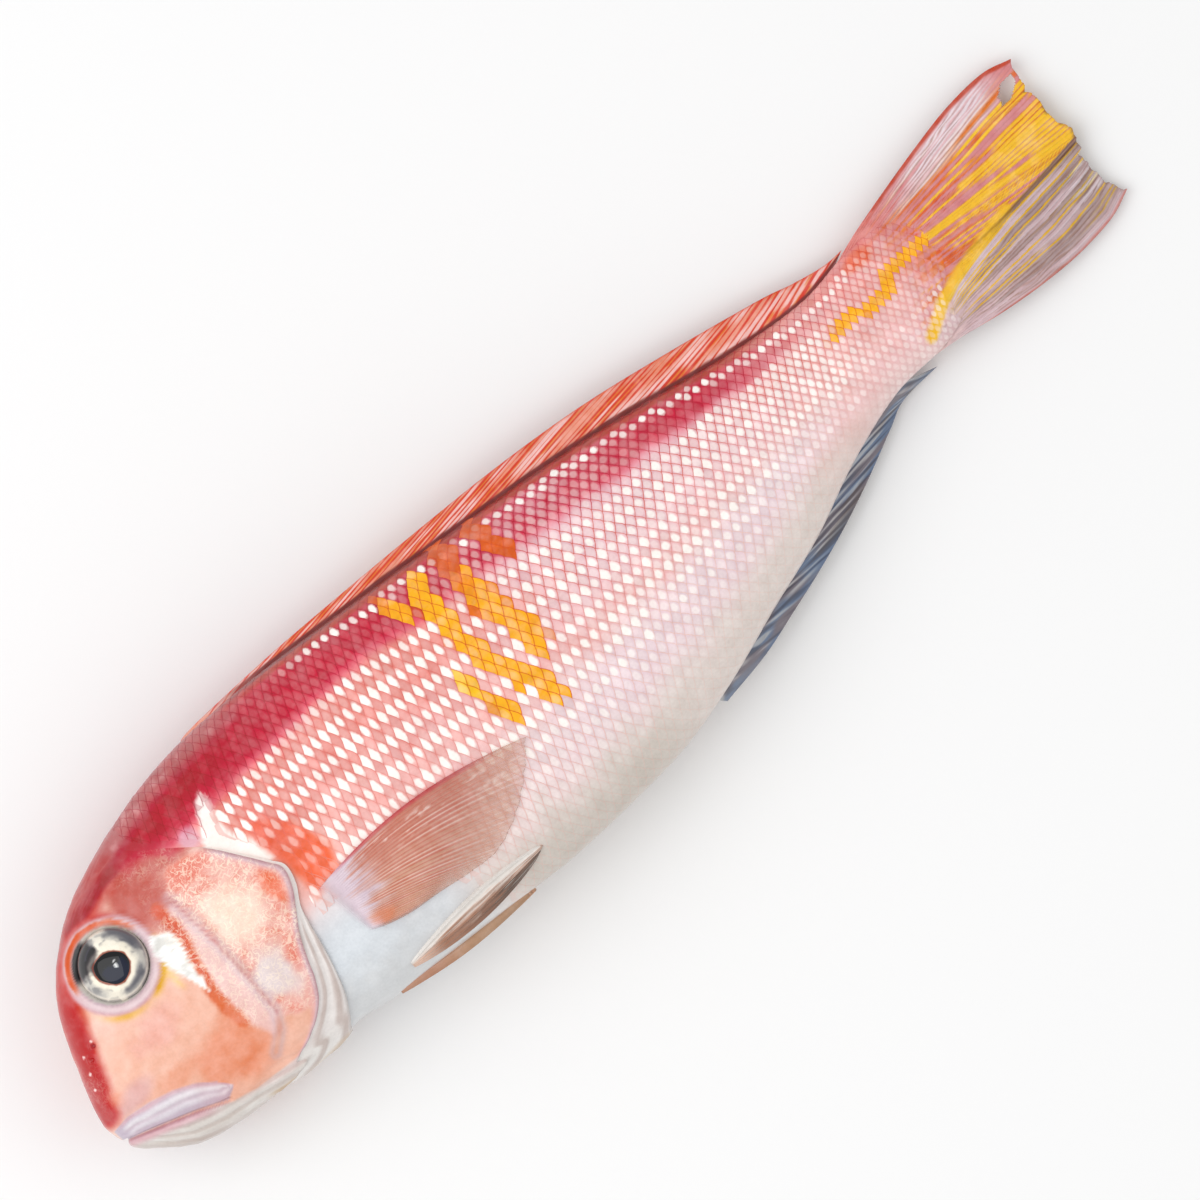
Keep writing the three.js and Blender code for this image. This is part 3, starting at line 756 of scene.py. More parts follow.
    def trunk(self, x: Array, y: Array) -> Paint:
        """Return the trunk's ground colours.

        Args:
            x: Distances from the snout.
            y: Levels.

        Returns:
            The colours.
        """
        over_mid, under_mid, from_back = self.levels(x, y)
        rough = self.rough(x, y, 7.0)
        small = self.rough(x + 40, y, 2.6)
        paint = Paint(len(x), "rose")
        paint.lay("peach", 0.4 * smooth(100, 82, x))
        paint.lay("rose_red", 0.45 * smooth(-0.1, 0.4, over_mid + 0.25 * rough) * smooth(185, 135, x))
        paint.lay("lilac", 0.5 * smooth(150, 190, x + 14 * rough) * smooth(-0.5, 0.1, over_mid))
        paint.lay("lilac_deep", 0.35 * smooth(0.2, 0.6, over_mid + 0.2 * rough) * smooth(150, 170, x)
                  * smooth(240, 200, x))
        paint.lay("rose_red", 0.30 * bump(x - 250, 18) * smooth(0.0, 0.5, over_mid + 0.3 * small))
        paint.lay("rose", 0.6 * smooth(0.15, -0.3, over_mid) * smooth(240, 190, x))
        paint.lay("blush", 0.9 * smooth(0.1, 0.42, under_mid + 0.12 * rough))
        paint.lay("lilac", 0.5 * smooth(0.1, 0.35, under_mid) * smooth(0.9, 0.5, under_mid)
                  * smooth(120, 170, x))
        paint.lay("belly", 0.9 * smooth(0.5, 0.85, under_mid + 0.1 * rough))
        # painted shade: darker towards the belly's edge, which turns away from the light
        paint.lay("belly_painted_shade", 0.75 * smooth(0.62, 0.95, under_mid + 0.12 * rough) * smooth(112, 122, x)
                  * smooth(185, 160, x))
        over = y - self.crimson_edge.value_at(x) + 1.2 * rough + 0.5 * small
        over += 1.3 * smooth(228, 248, x) * smooth(286, 272, x)
        paint.lay("crimson_pink", smooth(-2.8, 1.2, over) * lerp(1.0, 0.8, smooth(150, 200, x)))
        depth = smooth(-0.6, 2.6, over)
        paint.lay("crimson", depth * lerp(1.0, 0.7, smooth(125, 200, x)))
        paint.lay("crimson_deep", 0.5 * depth * smooth(112, 70, x) * smooth(1, 8, over))
        paint.lay("lilac_deep", 0.35 * depth * bump(x - 182, 18) * smooth(-0.6, 0.3, small))
        paint.lay("crimson", 0.65 * smooth(-1.0, 1.5, over) * smooth(205, 230, x) * smooth(290, 276, x))
        paint.lay("back_brown", 0.85 * smooth(6.8, 3.2, from_back + 0.8 * rough) * smooth(110, 86, x))
        paint.lay("crimson_pink", 0.5 * smooth(3.6, 1.6, from_back) * smooth(86, 110, x))
        base = smooth(84, 118, x) * smooth(283, 276, x)
        # painted highlights: pale pink flecks near the back's edge, in front
        paint.lay("fleck_pink", 0.3 * smooth(0.15, 0.55, small) * smooth(7, 3.5, from_back)
                  * smooth(118, 96, x))
        paint.lay("back_rust", 0.9 * smooth(2.9, 1.7, from_back + 0.3 * small) * base)
        # painted shade: dark line in the groove at the dorsal fin's base
        paint.lay("groove", 0.9 * smooth(1.2, 0.6, from_back + 0.3 * small) * base)
        paint.lay("breast", 0.95 * smooth(0.12, 0.5, under_mid) * smooth(92, 82, x + 2 * rough))
        paint.lay("breast", 0.9 * smooth(0.45, 0.62, under_mid) * smooth(116, 98, x + 3 * rough))
        # painted shade: greyer towards the breast's lower edge, which turns away from the light
        paint.lay("breast_painted_shade", 0.55 * smooth(0.55, 0.95, under_mid + 0.1 * small) * smooth(110, 95, x))
        patch = depth_inside(self.orange_patch, x + small, y + small)
        paint.lay("orange", 0.95 * smooth(-1.2, 1.8, patch))
        paint.lay("rose_red", 0.5 * smooth(96, 82, x) * smooth(10, 22, y) * smooth(42, 30, y)
                  * smooth(77, 79, x))
        paint.lay("pearl", 0.95 * smooth(-0.5, 0.6, depth_inside(self.white_patch, x + 0.4 * small, y)))
        paint.lay("lilac_deep", 0.8 * smooth(1.25, 0.6, np.hypot(x - 67, y - 35.5) / 3.0))
        self.peduncle(paint, x, y, over_mid, rough)
        return paint

    def peduncle(self, paint: Paint, x: Array, y: Array, over_mid: Array, rough: Array) -> None:
        """Colour the tail's root: pink, with an orange patch and a broken yellow line.

        Args:
            paint: The colours to lay over.
            x: Distances from the snout.
            y: Levels.
            over_mid: Share of the way from the flank's middle to the back.
            rough: Noise from -1 to 1.
        """
        paint.lay("rose", 0.9 * smooth(235, 268, x + 5 * rough) * smooth(-1.6, -0.3, over_mid))
        paint.lay("rose_red", 0.36 * smooth(255, 285, x) * smooth(-0.6, 0.4, over_mid + 0.3 * rough))
        paint.lay("lilac", 0.2 * smooth(245, 275, x) * smooth(-0.1, -0.9, over_mid))
        paint.lay("orange", 0.8 * smooth(1.2, 0.5, oval(x, y, (287, 16.0), (5.5, 2.6)) + 0.3 * rough))
        border = x + 2.0 * rough + 4.0 * self.fine.at(x / 9, y / 0.8) + 8.0 * smooth(9, -13, y)
        self.tail(paint, x, y, smooth(290, 306, border))

    def tail(self, paint: Paint, x: Array, y: Array, strength: Array) -> Array:
        """Lay the tail fin's streaks, which start on the scales of its root, with painted highlights and
        shade along the fine lines and a painted shadow along the fold.

        Args:
            paint: The colours to lay over.
            x: Distances from the snout.
            y: Levels.
            strength: How far the streaks cover, from 0 to 1.

        Returns:
            1 along the fine rays and 0 between them.
        """
        upper = read_line(self.tail_upper, x)
        lower = read_line(self.tail_lower, x)
        fold = read_line(self.tail_fold, x)
        u = np.clip((x - 288) / 60, 0, 1)
        over = smooth(-0.2, 0.2, y - fold)
        fan = np.maximum(1.0 + 0.024 * (x - 300), 0.5)
        root = (y + 0.324 * (x - 300)) / fan
        root = np.where(root > 6.4, root, y + 0.17 * (x - 300))
        share = np.clip((fold - y) / (fold - lower), 0.0, 1.0)
        count = np.where(y > fold, root / 0.58, 60 + 19 * share) + 0.25 * self.coarse.at(x / 12, y / 5)
        number = np.floor(count)
        within = count - number
        ray = np.clip(smooth(0.0, 0.22, within) * smooth(1.0, 0.72, within), 0, 1)
        hue = 1.3 * self.fine.at(number * 7.3 + 0.5, u * 1.3)
        glow = 1.2 * self.coarse.at(number * 5.3 + 0.5, u * 2.2)
        hair = waves(count + 0.6 * self.fine.at(x / 8, y * 0.8))
        top = strength * over
        low = strength * (1 - over)
        paint.lay("tail_pink", top)
        inner = smooth(1.5, 4.0, upper - y + 0.6 * glow)
        paint.lay("tail_orange", top * inner * ray * smooth(-0.15, 0.25, hue + 0.25 * glow))
        paint.lay("ray_orange", top * inner * 0.8 * smooth(0.3, 0.0, within) * smooth(-0.3, 0.2, glow))
        toward = 1.8 * (u - 0.66) + 0.4 * smooth(14.5, 10, root)
        yellow = smooth(0.05, 0.3, 0.8 * toward + 0.9 * hue) * smooth(16.6, 15.6, root + 0.5 * glow)
        paint.lay("tail_yellow", top * yellow * np.clip(0.1 + ray, 0, 1))
        paint.lay("tail_orange", top * yellow * 0.7 * smooth(0.55, 0.0, ray) * smooth(-0.2, 0.3, glow))
        # painted shade (deep orange) and painted highlights (pale gold) along the fine lines
        paint.lay("tail_deep", top * yellow * 0.6 * smooth(0.3, 0.8, hair) * smooth(0.1, 0.4, glow))
        paint.lay("pale_gold", top * yellow * 0.7 * smooth(0.4, 0.9, hair) * smooth(-0.1, 0.3, -glow) * ray)
        paint.lay("tail_pink", top * inner * 0.6 * smooth(0.5, 0.9, hair) * smooth(0.5, 0.0, yellow)
                  * (hue < 0.15))
        panel = smooth(15.0, 16.4, root + 0.5 * glow) * smooth(0.6, 1.6, upper - y) * smooth(0.98, 0.8, u)
        panel *= smooth(0.2, 0.5, u + 0.2 * glow)
        paint.lay("tail_white", top * 0.95 * panel * np.clip(1.0 - 0.5 * hair, 0, 1))
        paint.lay("tail_grey", top * 0.65 * panel * smooth(0.4, 0.8, hair) * smooth(-0.4, 0.2, glow))
        paint.lay("tail_orange", top * 0.85 * smooth(0.5, 0.7, u) * bump(root - 16.6, 0.28))
        paint.lay("tail_red", top * 0.95 * smooth(1.1, 0.5, upper - y + 0.3 * glow))
        paint.lay("tail_lilac", low)
        paint.lay("tail_grey", low * 0.85 * smooth(-0.3, 0.4, glow + u - 0.6))
        paint.lay("tail_brown", low * 0.45 * smooth(0.5, 0.9, hair) * smooth(0.0, 0.3, u)
                  * smooth(-0.4, 0.1, glow))
        paint.lay("tail_yellow", low * 0.95 * smooth(0.6, 0.15, within) * smooth(-0.15, 0.2, hue)
                  * smooth(0.9, 0.8, share) * smooth(0.05, 0.25, u))
        paint.lay("tail_white", low * 0.5 * smooth(0.5, 0.9, within) * smooth(0.1, 0.4, -glow))
        paint.lay("tail_red", low * 0.55 * smooth(0.965, 0.995, share))
        streaks = ((self.tail_fold[:6], 2.3), (((300, 7.2), (306, 6.3), (325, 2.9), (347, -1.2)), 1.6),
                   (((318, 9.6), (330, 8.3), (347, 6.2)), 1.1))
        for line, width in streaks:
            away, _ = distance_to(line, x, y - 0.6)
            streak = smooth(width, 0.35 * width, away + 0.5 * np.abs(glow))
            paint.lay("tail_yellow", np.minimum(strength + 0.6, 1.0) * 0.97 * streak)
            # painted highlights: pale gold fine lines on the yellow streaks
            paint.lay("pale_gold", strength * 0.6 * streak * smooth(0.7, 1.0, hair))
        # painted shadow: a brown line along the fold, where the upper lobe lies over the lower
        paint.lay("brown", strength * 0.7 * bump(y - fold + 0.25, 0.28) * smooth(0.35, 0.7, u))
        return ray * (0.6 + 0.4 * hair)

    def gold(self, x: Array, y: Array, paint: Paint) -> None:
        """Lay the golden bars over whole scales.

        Args:
            x: Distances of the scales from the snout.
            y: Levels of the scales.
            paint: The colours to lay over.
        """
        rough = self.rough(x + 17, y + 5, 2.2)
        for line, width, first, second in self.gold_bars:
            path = SmoothCurve(line).samples(40)
            away, share = distance_to(path, x, y)
            inside = smooth(1.1, 0.95, away / width + 0.6 * rough)
            paint.lay(first, inside)
            paint.lay(second, inside * smooth(0.1, 0.4, share + 0.3 * rough) * 0.95)

    def head(self, x: Array, y: Array) -> Paint:
        """Return the head's ground colours.

        Args:
            x: Distances from the snout.
            y: Levels.

        Returns:
            The colours.
        """
        from_back = read_line(self.head_back, x) - y
        rough = self.rough(x, y, 6.0)
        small = self.rough(x + 31, y + 9, 2.2)
        paint = Paint(len(x), "shell")
        paint.lay("peach", 0.75 * smooth(24, 8, y + 3 * rough) * smooth(6, 14, x))
        paint.lay("lip_pink", 0.55 * smooth(1.2, 0.4, oval(x, y, (11, 0.5), (8, 3.6)) + 0.25 * rough))
        paint.lay("apricot", 0.7 * smooth(1.2, 0.35, oval(x, y, (37, -9), (14, 9.5)) + 0.35 * rough))
        paint.lay("cheek_orange", 0.35 * smooth(1.2, 0.4, oval(x, y, (41, -15), (6, 4.5)) + 0.35 * rough))
        paint.lay("cheek_orange", 0.3 * smooth(1.2, 0.4, oval(x, y, (22, -4), (7, 3.5)) + 0.35 * small))
        paint.lay("rose", 0.45 * smooth(1.1, 0.3, oval(x, y, (27, 8), (10, 6)) + 0.3 * small))
        paint.lay("apricot", 0.85 * smooth(15, 8, from_back + 2.5 * rough) * smooth(3, 9, x)
                  * smooth(30, 20, x))
        paint.lay("brow", 0.97 * smooth(9.5, 5, from_back + 1.6 * rough) * smooth(8, 14, x))
        paint.lay("nape", 0.8 * smooth(6.5, 3.0, from_back + rough) * smooth(14, 24, x))
        snout_line = ((20, 33), (14, 26), (10.5, 18.5), (6.5, 10.5), (2.6, 2.5))
        ridge, _ = distance_to(snout_line, x, y)
        paint.lay("brow", 0.8 * smooth(5.4, 2.4, ridge + rough))
        paint.lay("snout_red", 0.92 * smooth(3.6, 1.2, ridge + 0.9 * rough) * smooth(20, 12, x))
        paint.lay("apricot", 0.6 * bump(oval(x, y, (7.5, 3.6), (2.2, 2.2)), 1.0))
        paint.lay("muscle", 0.95 * smooth(1.3, 0.6, oval(x, y, (47.5, 36), (7.5, 9)) + 0.25 * rough))
        paint.lay("muscle", 0.7 * smooth(1.2, 0.6, oval(x, y, (50, 28), (4.5, 9)) + 0.3 * small))
        paint.lay("brow", 0.5 * smooth(0.1, 0.5, rough) * smooth(30, 36, x) * smooth(30, 38, y))
        paint.lay("muscle", 0.5 * smooth(1.2, 0.7, oval(x, y, (49, 32), (8, 12))))
        paint.lay("muscle", 0.85 * smooth(1.3, 0.6, oval(x, y, (61, 38), (9, 5.5)) + 0.3 * small))
        dark_line = ((30, 40.5), (35, 42.2), (40, 43.2), (47.5, 44), (53, 44.8), (58, 46.4))
        streak, _ = distance_to(dark_line, x, y)
        paint.lay("crimson_deep", 0.75 * smooth(2.6, 0.7, streak + 0.5 * rough))
        paint.lay("nape", 0.55 * smooth(1.3, 0.5, np.abs(from_back - 2.6) / 2.0) * smooth(28, 36, x))
        # painted highlight: faint pale streaks along the head's back edge
        paint.lay("pearl", 0.12 * bump(self.fine.at(from_back * 0.9, x / 7), 0.18) * smooth(8, 4, from_back)
                  * smooth(26, 34, x))
        paint.rgb *= np.array(self.head_tone)
        self.eye_surround(paint, x, y, small)
        self.bones(paint, x, y, rough, small)
        self.jaws(paint, x, y, rough)
        nape_edge = FORM.cover.value_at(-y) - x
        paint.lay("crimson", 0.85 * smooth(4.2, 0.6, nape_edge + 2.2 * rough + 1.2 * small)
                  * smooth(33, 37, y) * smooth(4, 7, from_back))
        return paint

    def eye_surround(self, paint: Paint, x: Array, y: Array, small: Array) -> None:
        """Colour the ring round the eye and the yellow under it, paint shade in the crease round the socket
        and in one nostril, and paint highlights on the pores of the snout.

        Args:
            paint: The colours to lay over.
            x: Distances from the snout.
            y: Levels.
            small: Fine noise from -1 to 1.
        """
        dx, dy = x - self.eye[0], y - self.eye[1]
        ring = np.hypot(dx, dy) / 1.04
        turn = np.degrees(np.arctan2(dy, dx))
        below = smooth(25, 5, turn)
        lower = smooth(-88, -70, turn) * below * smooth(-5, -25, turn)
        paint.lay("yellow", 0.97 * bump(ring - 12.5 + 0.4 * small, 1.1) * lower)
        paint.lay("yellow", 0.75 * bump(ring - 12.8, 0.9) * bump(turn + 118, 22))
        paint.lay("pale_gold", 0.5 * bump(x - 39.4 + 0.3 * small, 0.8) * smooth(9, 13, y) * smooth(24, 20, y))
        paint.lay("eye_lilac", 0.9 * smooth(12.2, 11.6, ring))
        paint.lay("lip_pink", 0.75 * bump(ring - 11.9, 0.45))
        above = np.maximum(smooth(48, 70, turn) * smooth(182, 160, turn),
                           0.8 * smooth(5, 25, turn) * (turn < 60))
        paint.lay("eye_orange", 0.95 * smooth(11.4, 10.9, ring + 0.25 * small) * above)
        paint.lay("brow", 0.8 * bump(ring - 12.2, 0.7) * smooth(30, 60, turn) * smooth(185, 150, turn))
        # the iris's silver edge and the painted reflection of its dark patch, carried onto the skin round the
        # dome
        rim = smooth(10.1, 9.7, np.hypot(dx, dy))
        paint.lay("iris_silver", 0.95 * rim)
        paint.lay("iris_dark", 0.85 * rim * smooth(92, 104, turn) * smooth(172, 155, turn))
        # painted shade: a darker ring in the crease round the eye socket
        paint.lay("violet_painted_shade", 0.6 * bump(np.hypot(dx, dy) - 10.1, 0.25))
        # painted highlights: pale dots on the snout's pores
        for spot_x, spot_y in ((9.2, 16.5), (7.3, 12.4), (5.3, 8.8), (13.4, 18.0)):
            paint.lay("pearl", 0.8 * smooth(0.5, 0.25, np.hypot(x - spot_x, y - spot_y)))
        # painted shade: a dark dot in the nostril
        paint.lay("crimson_deep", 0.8 * smooth(0.75, 0.4, np.hypot(x - 13.0, y - 16.8)))

    def bones(self, paint: Paint, x: Array, y: Array, rough: Array, small: Array) -> None:
        """Colour the silver patch, the cheek's rear edge and the gill cover, with painted shade lines in the
        cheek's groove and under the gill cover's edge.

        Args:
            paint: The colours to lay over.
            x: Distances from the snout.
            y: Levels.
            rough: Coarse noise from -1 to 1.
            small: Fine noise from -1 to 1.
        """
        band_line = ((48.6, 29), (48.6, 21.4), (46.9, 16.7), (44.8, 11.3), (43.6, 5), (43.2, 0.3), (43.4, -6))
        band, share = distance_to(band_line, x, y)
        fleck = depth_inside(((48.5, 28), (52.8, 27), (52.8, 8), (52, -4), (51.4, -10.5), (46.5, -14),
                              (44.5, -8), (44, 2), (46, 10), (49, 18)), x, y)
        paint.lay("fleck_pink", 0.8 * smooth(-0.8, 1.0, fleck + 0.5 * small))
        paint.lay("band_red", 0.97 * smooth(2.2, 0.9, band + 0.7 * small)
                  * lerp(1.0, 0.5, smooth(0.5, 1.0, share)))
        silver = depth_inside(self.silver_patch, x + 0.5 * small, y + 0.4 * rough)
        paint.lay("silver", smooth(-0.3, 0.4, silver))
        paint.lay("iris_silver", 0.5 * smooth(0.1, 0.5, silver) * smooth(0.0, 0.35, small))
        plate = depth_inside(self.gill_plate, x, y)
        inside = smooth(-0.6, 1.0, plate + 0.5 * small)
        paint.lay("cover_pink", inside)
        paint.lay("cover_red", 0.5 * inside * smooth(0.0, 0.6, small + 0.6 * rough))
        paint.lay("cover_red", 0.75 * inside * smooth(1.2, 0.5, oval(x, y, (61, 31), (10, 4)) + 0.25 * rough))
        paint.lay("cover_grey", 0.9 * smooth(1.2, 0.4, oval(x, y, (58, -3), (6.5, 8)) + 0.4 * rough) * inside)
        paint.lay("cover_gold", 0.65 * smooth(1.2, 0.4, oval(x, y, (62, 15), (8, 9)) + 0.35 * rough) * inside)
        paint.lay("orange", 0.7 * smooth(1.2, 0.45, oval(x, y, (73.6, 12.5), (3.2, 6.0)) + 0.35 * small))
        paint.lay("cover_red", 0.45 * smooth(1.2, 0.5, oval(x, y, (66, -4.5), (4.5, 4.5)) + 0.35 * small))
        groove = ((52.9, 29), (52.9, 12), (52.2, 0), (51.2, -9.5), (48.6, -13.8), (43.5, -17.2))
        bone, _ = distance_to(groove, x, y)
        paint.lay("lavender", 0.4 * bump(bone - 1.0, 0.8) * (x > 40))
        # painted shade: thin dark line in the cheek's groove
        paint.lay("edge_shade_line", 0.5 * smooth(0.5, 0.1, bone) * smooth(46, 50, x))
        rim = (FORM.cover.value_at(-y) - x) * 0.8
        paint.lay("cover_rim", 0.8 * smooth(2.7, 1.0, rim + 0.4 * small) * smooth(33, 28, y))
        paint.lay("lavender", 0.55 * smooth(1.4, 0.8, rim) * smooth(33, 28, y))
        # painted shadow: thin dark line under the gill cover's free edge
        paint.lay("edge_shade_line", 0.5 * smooth(0.55, 0.1, rim) * smooth(33, 28, y))

    def jaws(self, paint: Paint, x: Array, y: Array, rough: Array) -> None:
        """Colour the upper jaw's plate, the lips, the chin and the throat's folds, with painted highlights on
        the plate's ridges and painted shade in its grooves, the throat's creases and the mouth's line.

        Args:
            paint: The colours to lay over.
            x: Distances from the snout.
            y: Levels.
            rough: Noise from -1 to 1.
        """
        lip = read_line(self.lip_line, x)
        under = lip - y
        over_belly = y - read_line(self.head_belly, x)
        throat = smooth(-0.4, 0.5, under) * smooth(62, 52, x)
        paint.lay("chin", throat)
        folds = self.fold_lines(x, over_belly)
        # painted shade in the throat's creases
        paint.lay("fold", 0.32 * throat * folds * smooth(4, 12, x))
        paint.lay("silver", 0.4 * throat * (1 - folds) * smooth(0.2, 0.6, self.fine.at(x / 8, over_belly)))
        paint.lay("chin_pink", 0.6 * throat * smooth(2.5, 5, over_belly + rough) * smooth(24, 36, x))
        # painted shade along the chin's lower edge
        paint.lay("fold", 0.4 * throat * smooth(2.4, 0.6, over_belly) * smooth(30, 14, x))
        paint.lay("lip_pink", 0.85 * smooth(3.0, 0.8, under) * smooth(-0.4, 0.3, under) * smooth(26, 18, x))
        # painted shade: thin dark line in the mouth's slit
        paint.lay("edge_shade_line", 0.5 * smooth(0.6, 0.1, np.abs(under)) * smooth(28, 24, x))
        upper = read_line(self.jaw_upper, x)
        lower = read_line(self.jaw_lower, x)
        across = (upper - y) / np.maximum(upper - lower, 0.3)
        inside = smooth(-0.04, 0.08, across) * smooth(1.04, 0.95, across)
        inside *= smooth(30.6, 29.8, x) * smooth(0.8, 1.4, x)
        paint.lay("lavender", inside)
        paint.lay("lip_pink", 0.6 * inside * smooth(17, 28, x + 4 * rough))
        # painted light on the jaw plate: silver stripes are painted highlights on its ridges, the pink and
        # violet stripes painted shade in the grooves between them
        for middle, width, name, strength in ((0.10, 0.12, "lip_pink", 0.7), (0.34, 0.16, "silver", 0.55),
                                              (0.50, 0.09, "violet_painted_shade", 0.4), (0.68, 0.14, "silver", 0.4),
                                              (0.86, 0.10, "violet_painted_shade", 0.35)):
            bent = across - middle - 0.09 * self.coarse.at(x / 6, np.full_like(x, middle * 20))
            paint.lay(name, strength * inside * bump(bent, width) * smooth(1.5, 5, x))
        paint.lay("right_gill", 0.9 * smooth(1.9, 1.1, over_belly + 0.3 * rough) * smooth(33, 38, x)
                  * smooth(61, 57, x))

    def fold_lines(self, x: Array, over_belly: Array) -> Array:
        """Return 1 in the creases that run along the throat and 0 between them."""
        wander = over_belly + 0.9 * self.coarse.at(x / 15, over_belly / 6) + 0.06 * x
        return smooth(0.25, 1.0, waves(wander / 2.3))


FIELD = Field()


class Graph:
    """A short way to build a node tree."""

    def __init__(self, tree: bpy.types.NodeTree) -> None:
        """Keep the tree that is built."""
        self.tree = tree

    def add(self, kind: str, **settings: object) -> Node:
        """Add a node and set its properties.

        Args:
            kind: The node's type.
            settings: Properties by name.

        Returns:
            The node.
        """
        node = self.tree.nodes.new(kind)
        for name, value in settings.items():
            setattr(node, name, value)
        return node

    def socket(self, name: str, kind: str, way: str = "INPUT") -> bpy.types.NodeTreeInterfaceSocket:
        """Give the tree itself a named input or output."""
        return self.tree.interface.new_socket(name, in_out=way, socket_type="NodeSocket" + kind)

    def link(self, source: Socket, target: Socket) -> None:
        """Join two sockets."""
        self.tree.links.new(source, target)

    def math(self, operation: str, *inputs: object) -> Socket:
        """Add a Math node and return its value.

        Args:
            operation: The node's operation.
            inputs: Numbers, or sockets to join.

        Returns:
            The result's socket.
        """
        node = self.add("ShaderNodeMath", operation=operation)
        for socket, value in zip(node.inputs, inputs):
            if isinstance(value, Socket):
                self.link(value, socket)
            else:
                socket.default_value = value
        return node.outputs[0]

    def rise(self, value: Socket, start: float, end: float) -> Socket:
        """Return a value that rises softly from 0 at start to 1 at end.

        Args:
            value: The socket of the value.
            start: Where the result is 0.
            end: Where the result is 1.

        Returns:
            The result's socket.
        """
        node = self.add("ShaderNodeMapRange", interpolation_type="SMOOTHSTEP")
        self.link(value, node.inputs["Value"])
        low, high = (start, end) if end > start else (end, start)
        node.inputs["From Min"].default_value = low
        node.inputs["From Max"].default_value = high
        node.inputs["To Min"].default_value = 0.0 if end > start else 1.0
        node.inputs["To Max"].default_value = 1.0 if end > start else 0.0
        return node.outputs["Result"]

    def mix(self, share: object, first: object, second: object, blend: str = "MIX") -> Socket:
        """Mix two colours and return the result.

        Args:
            share: A number or a socket.
            first: A colour or a socket.
            second: A colour or a socket.
            blend: The blending mode.

        Returns:
            The result's socket.
        """
        node = self.add("ShaderNodeMix", data_type="RGBA", blend_type=blend)
        for index, value in ((0, share), (6, first), (7, second)):
            if isinstance(value, Socket):
                self.link(value, node.inputs[index])
            else:
                node.inputs[index].default_value = value
        return node.outputs[2]

    def attribute(self, name: str) -> Node:
        """Read an attribute of the mesh."""
        return self.add("ShaderNodeAttribute", attribute_type="GEOMETRY", attribute_name=name)


def rgba(name: str) -> tuple:
    """Return a palette colour as a linear colour for a socket."""
    return (*to_linear(colour(name)), 1.0)


class Effects:
    """Shader groups that several finishes share."""

    @staticmethod
    def mottle() -> bpy.types.NodeTree:
        """Build the group that varies a colour a little and gives roughness and height.

        Returns:
            The group: Color in, Color, Roughness and Height out.
        """
        tree = bpy.data.node_groups.new("WetMottle", "ShaderNodeTree")
        g = Graph(tree)
        g.socket("Color", "Color")
        g.socket("Fine Scale", "Float").default_value = 1400.0
        g.socket("Color", "Color", "OUTPUT")
        g.socket("Roughness", "Float", "OUTPUT")
        g.socket("Height", "Float", "OUTPUT")
        start = g.add("NodeGroupInput")
        end = g.add("NodeGroupOutput")
        place = g.add("ShaderNodeTexCoord")
        broad = g.add("ShaderNodeTexNoise")
        broad.inputs["Scale"].default_value = 260.0
        broad.inputs["Detail"].default_value = 3.0
        grain = g.add("ShaderNodeTexNoise")
        grain.inputs["Detail"].default_value = 2.0
        g.link(place.outputs["Object"], broad.inputs["Vector"])
        g.link(place.outputs["Object"], grain.inputs["Vector"])
        g.link(start.outputs["Fine Scale"], grain.inputs["Scale"])
        shade = g.add("ShaderNodeHueSaturation")
        g.link(start.outputs["Color"], shade.inputs["Color"])
        finer = g.math("MULTIPLY", grain.outputs[0], 0.4)
        wave = g.math("ADD", g.math("MULTIPLY", broad.outputs[0], 0.6), finer)
        g.link(g.math("MULTIPLY_ADD", wave, 0.44, 0.80), shade.inputs["Value"])
        g.link(g.math("MULTIPLY_ADD", broad.outputs[0], -0.4, 1.2), shade.inputs["Saturation"])
        g.link(shade.outputs[0], end.inputs["Color"])
        g.link(g.math("MULTIPLY_ADD", grain.outputs[0], 0.22, 0.24), end.inputs["Roughness"])
        g.link(wave, end.inputs["Height"])
        return tree

    @staticmethod
    def threads() -> bpy.types.NodeTree:
        """Build the group that draws fine winding threads, as on a gill cover.

        Returns:
            The group: Scale and Width in, Mask out.
        """
        tree = bpy.data.node_groups.new("WindingThreads", "ShaderNodeTree")
        g = Graph(tree)
        g.socket("Scale", "Float").default_value = 420.0
        g.socket("Width", "Float").default_value = 0.035
        g.socket("Mask", "Float", "OUTPUT")
        start = g.add("NodeGroupInput")
        end = g.add("NodeGroupOutput")
        place = g.add("ShaderNodeTexCoord")
        noise = g.add("ShaderNodeTexNoise")
        noise.inputs["Detail"].default_value = 1.5
        noise.inputs["Distortion"].default_value = 0.6
        g.link(place.outputs["Object"], noise.inputs["Vector"])
        g.link(start.outputs["Scale"], noise.inputs["Scale"])
        off = g.math("ABSOLUTE", g.math("SUBTRACT", noise.outputs[0], 0.5))
        ratio = g.math("DIVIDE", off, start.outputs["Width"])
        g.link(g.rise(ratio, 1.0, 0.35), end.inputs["Mask"])
        return tree


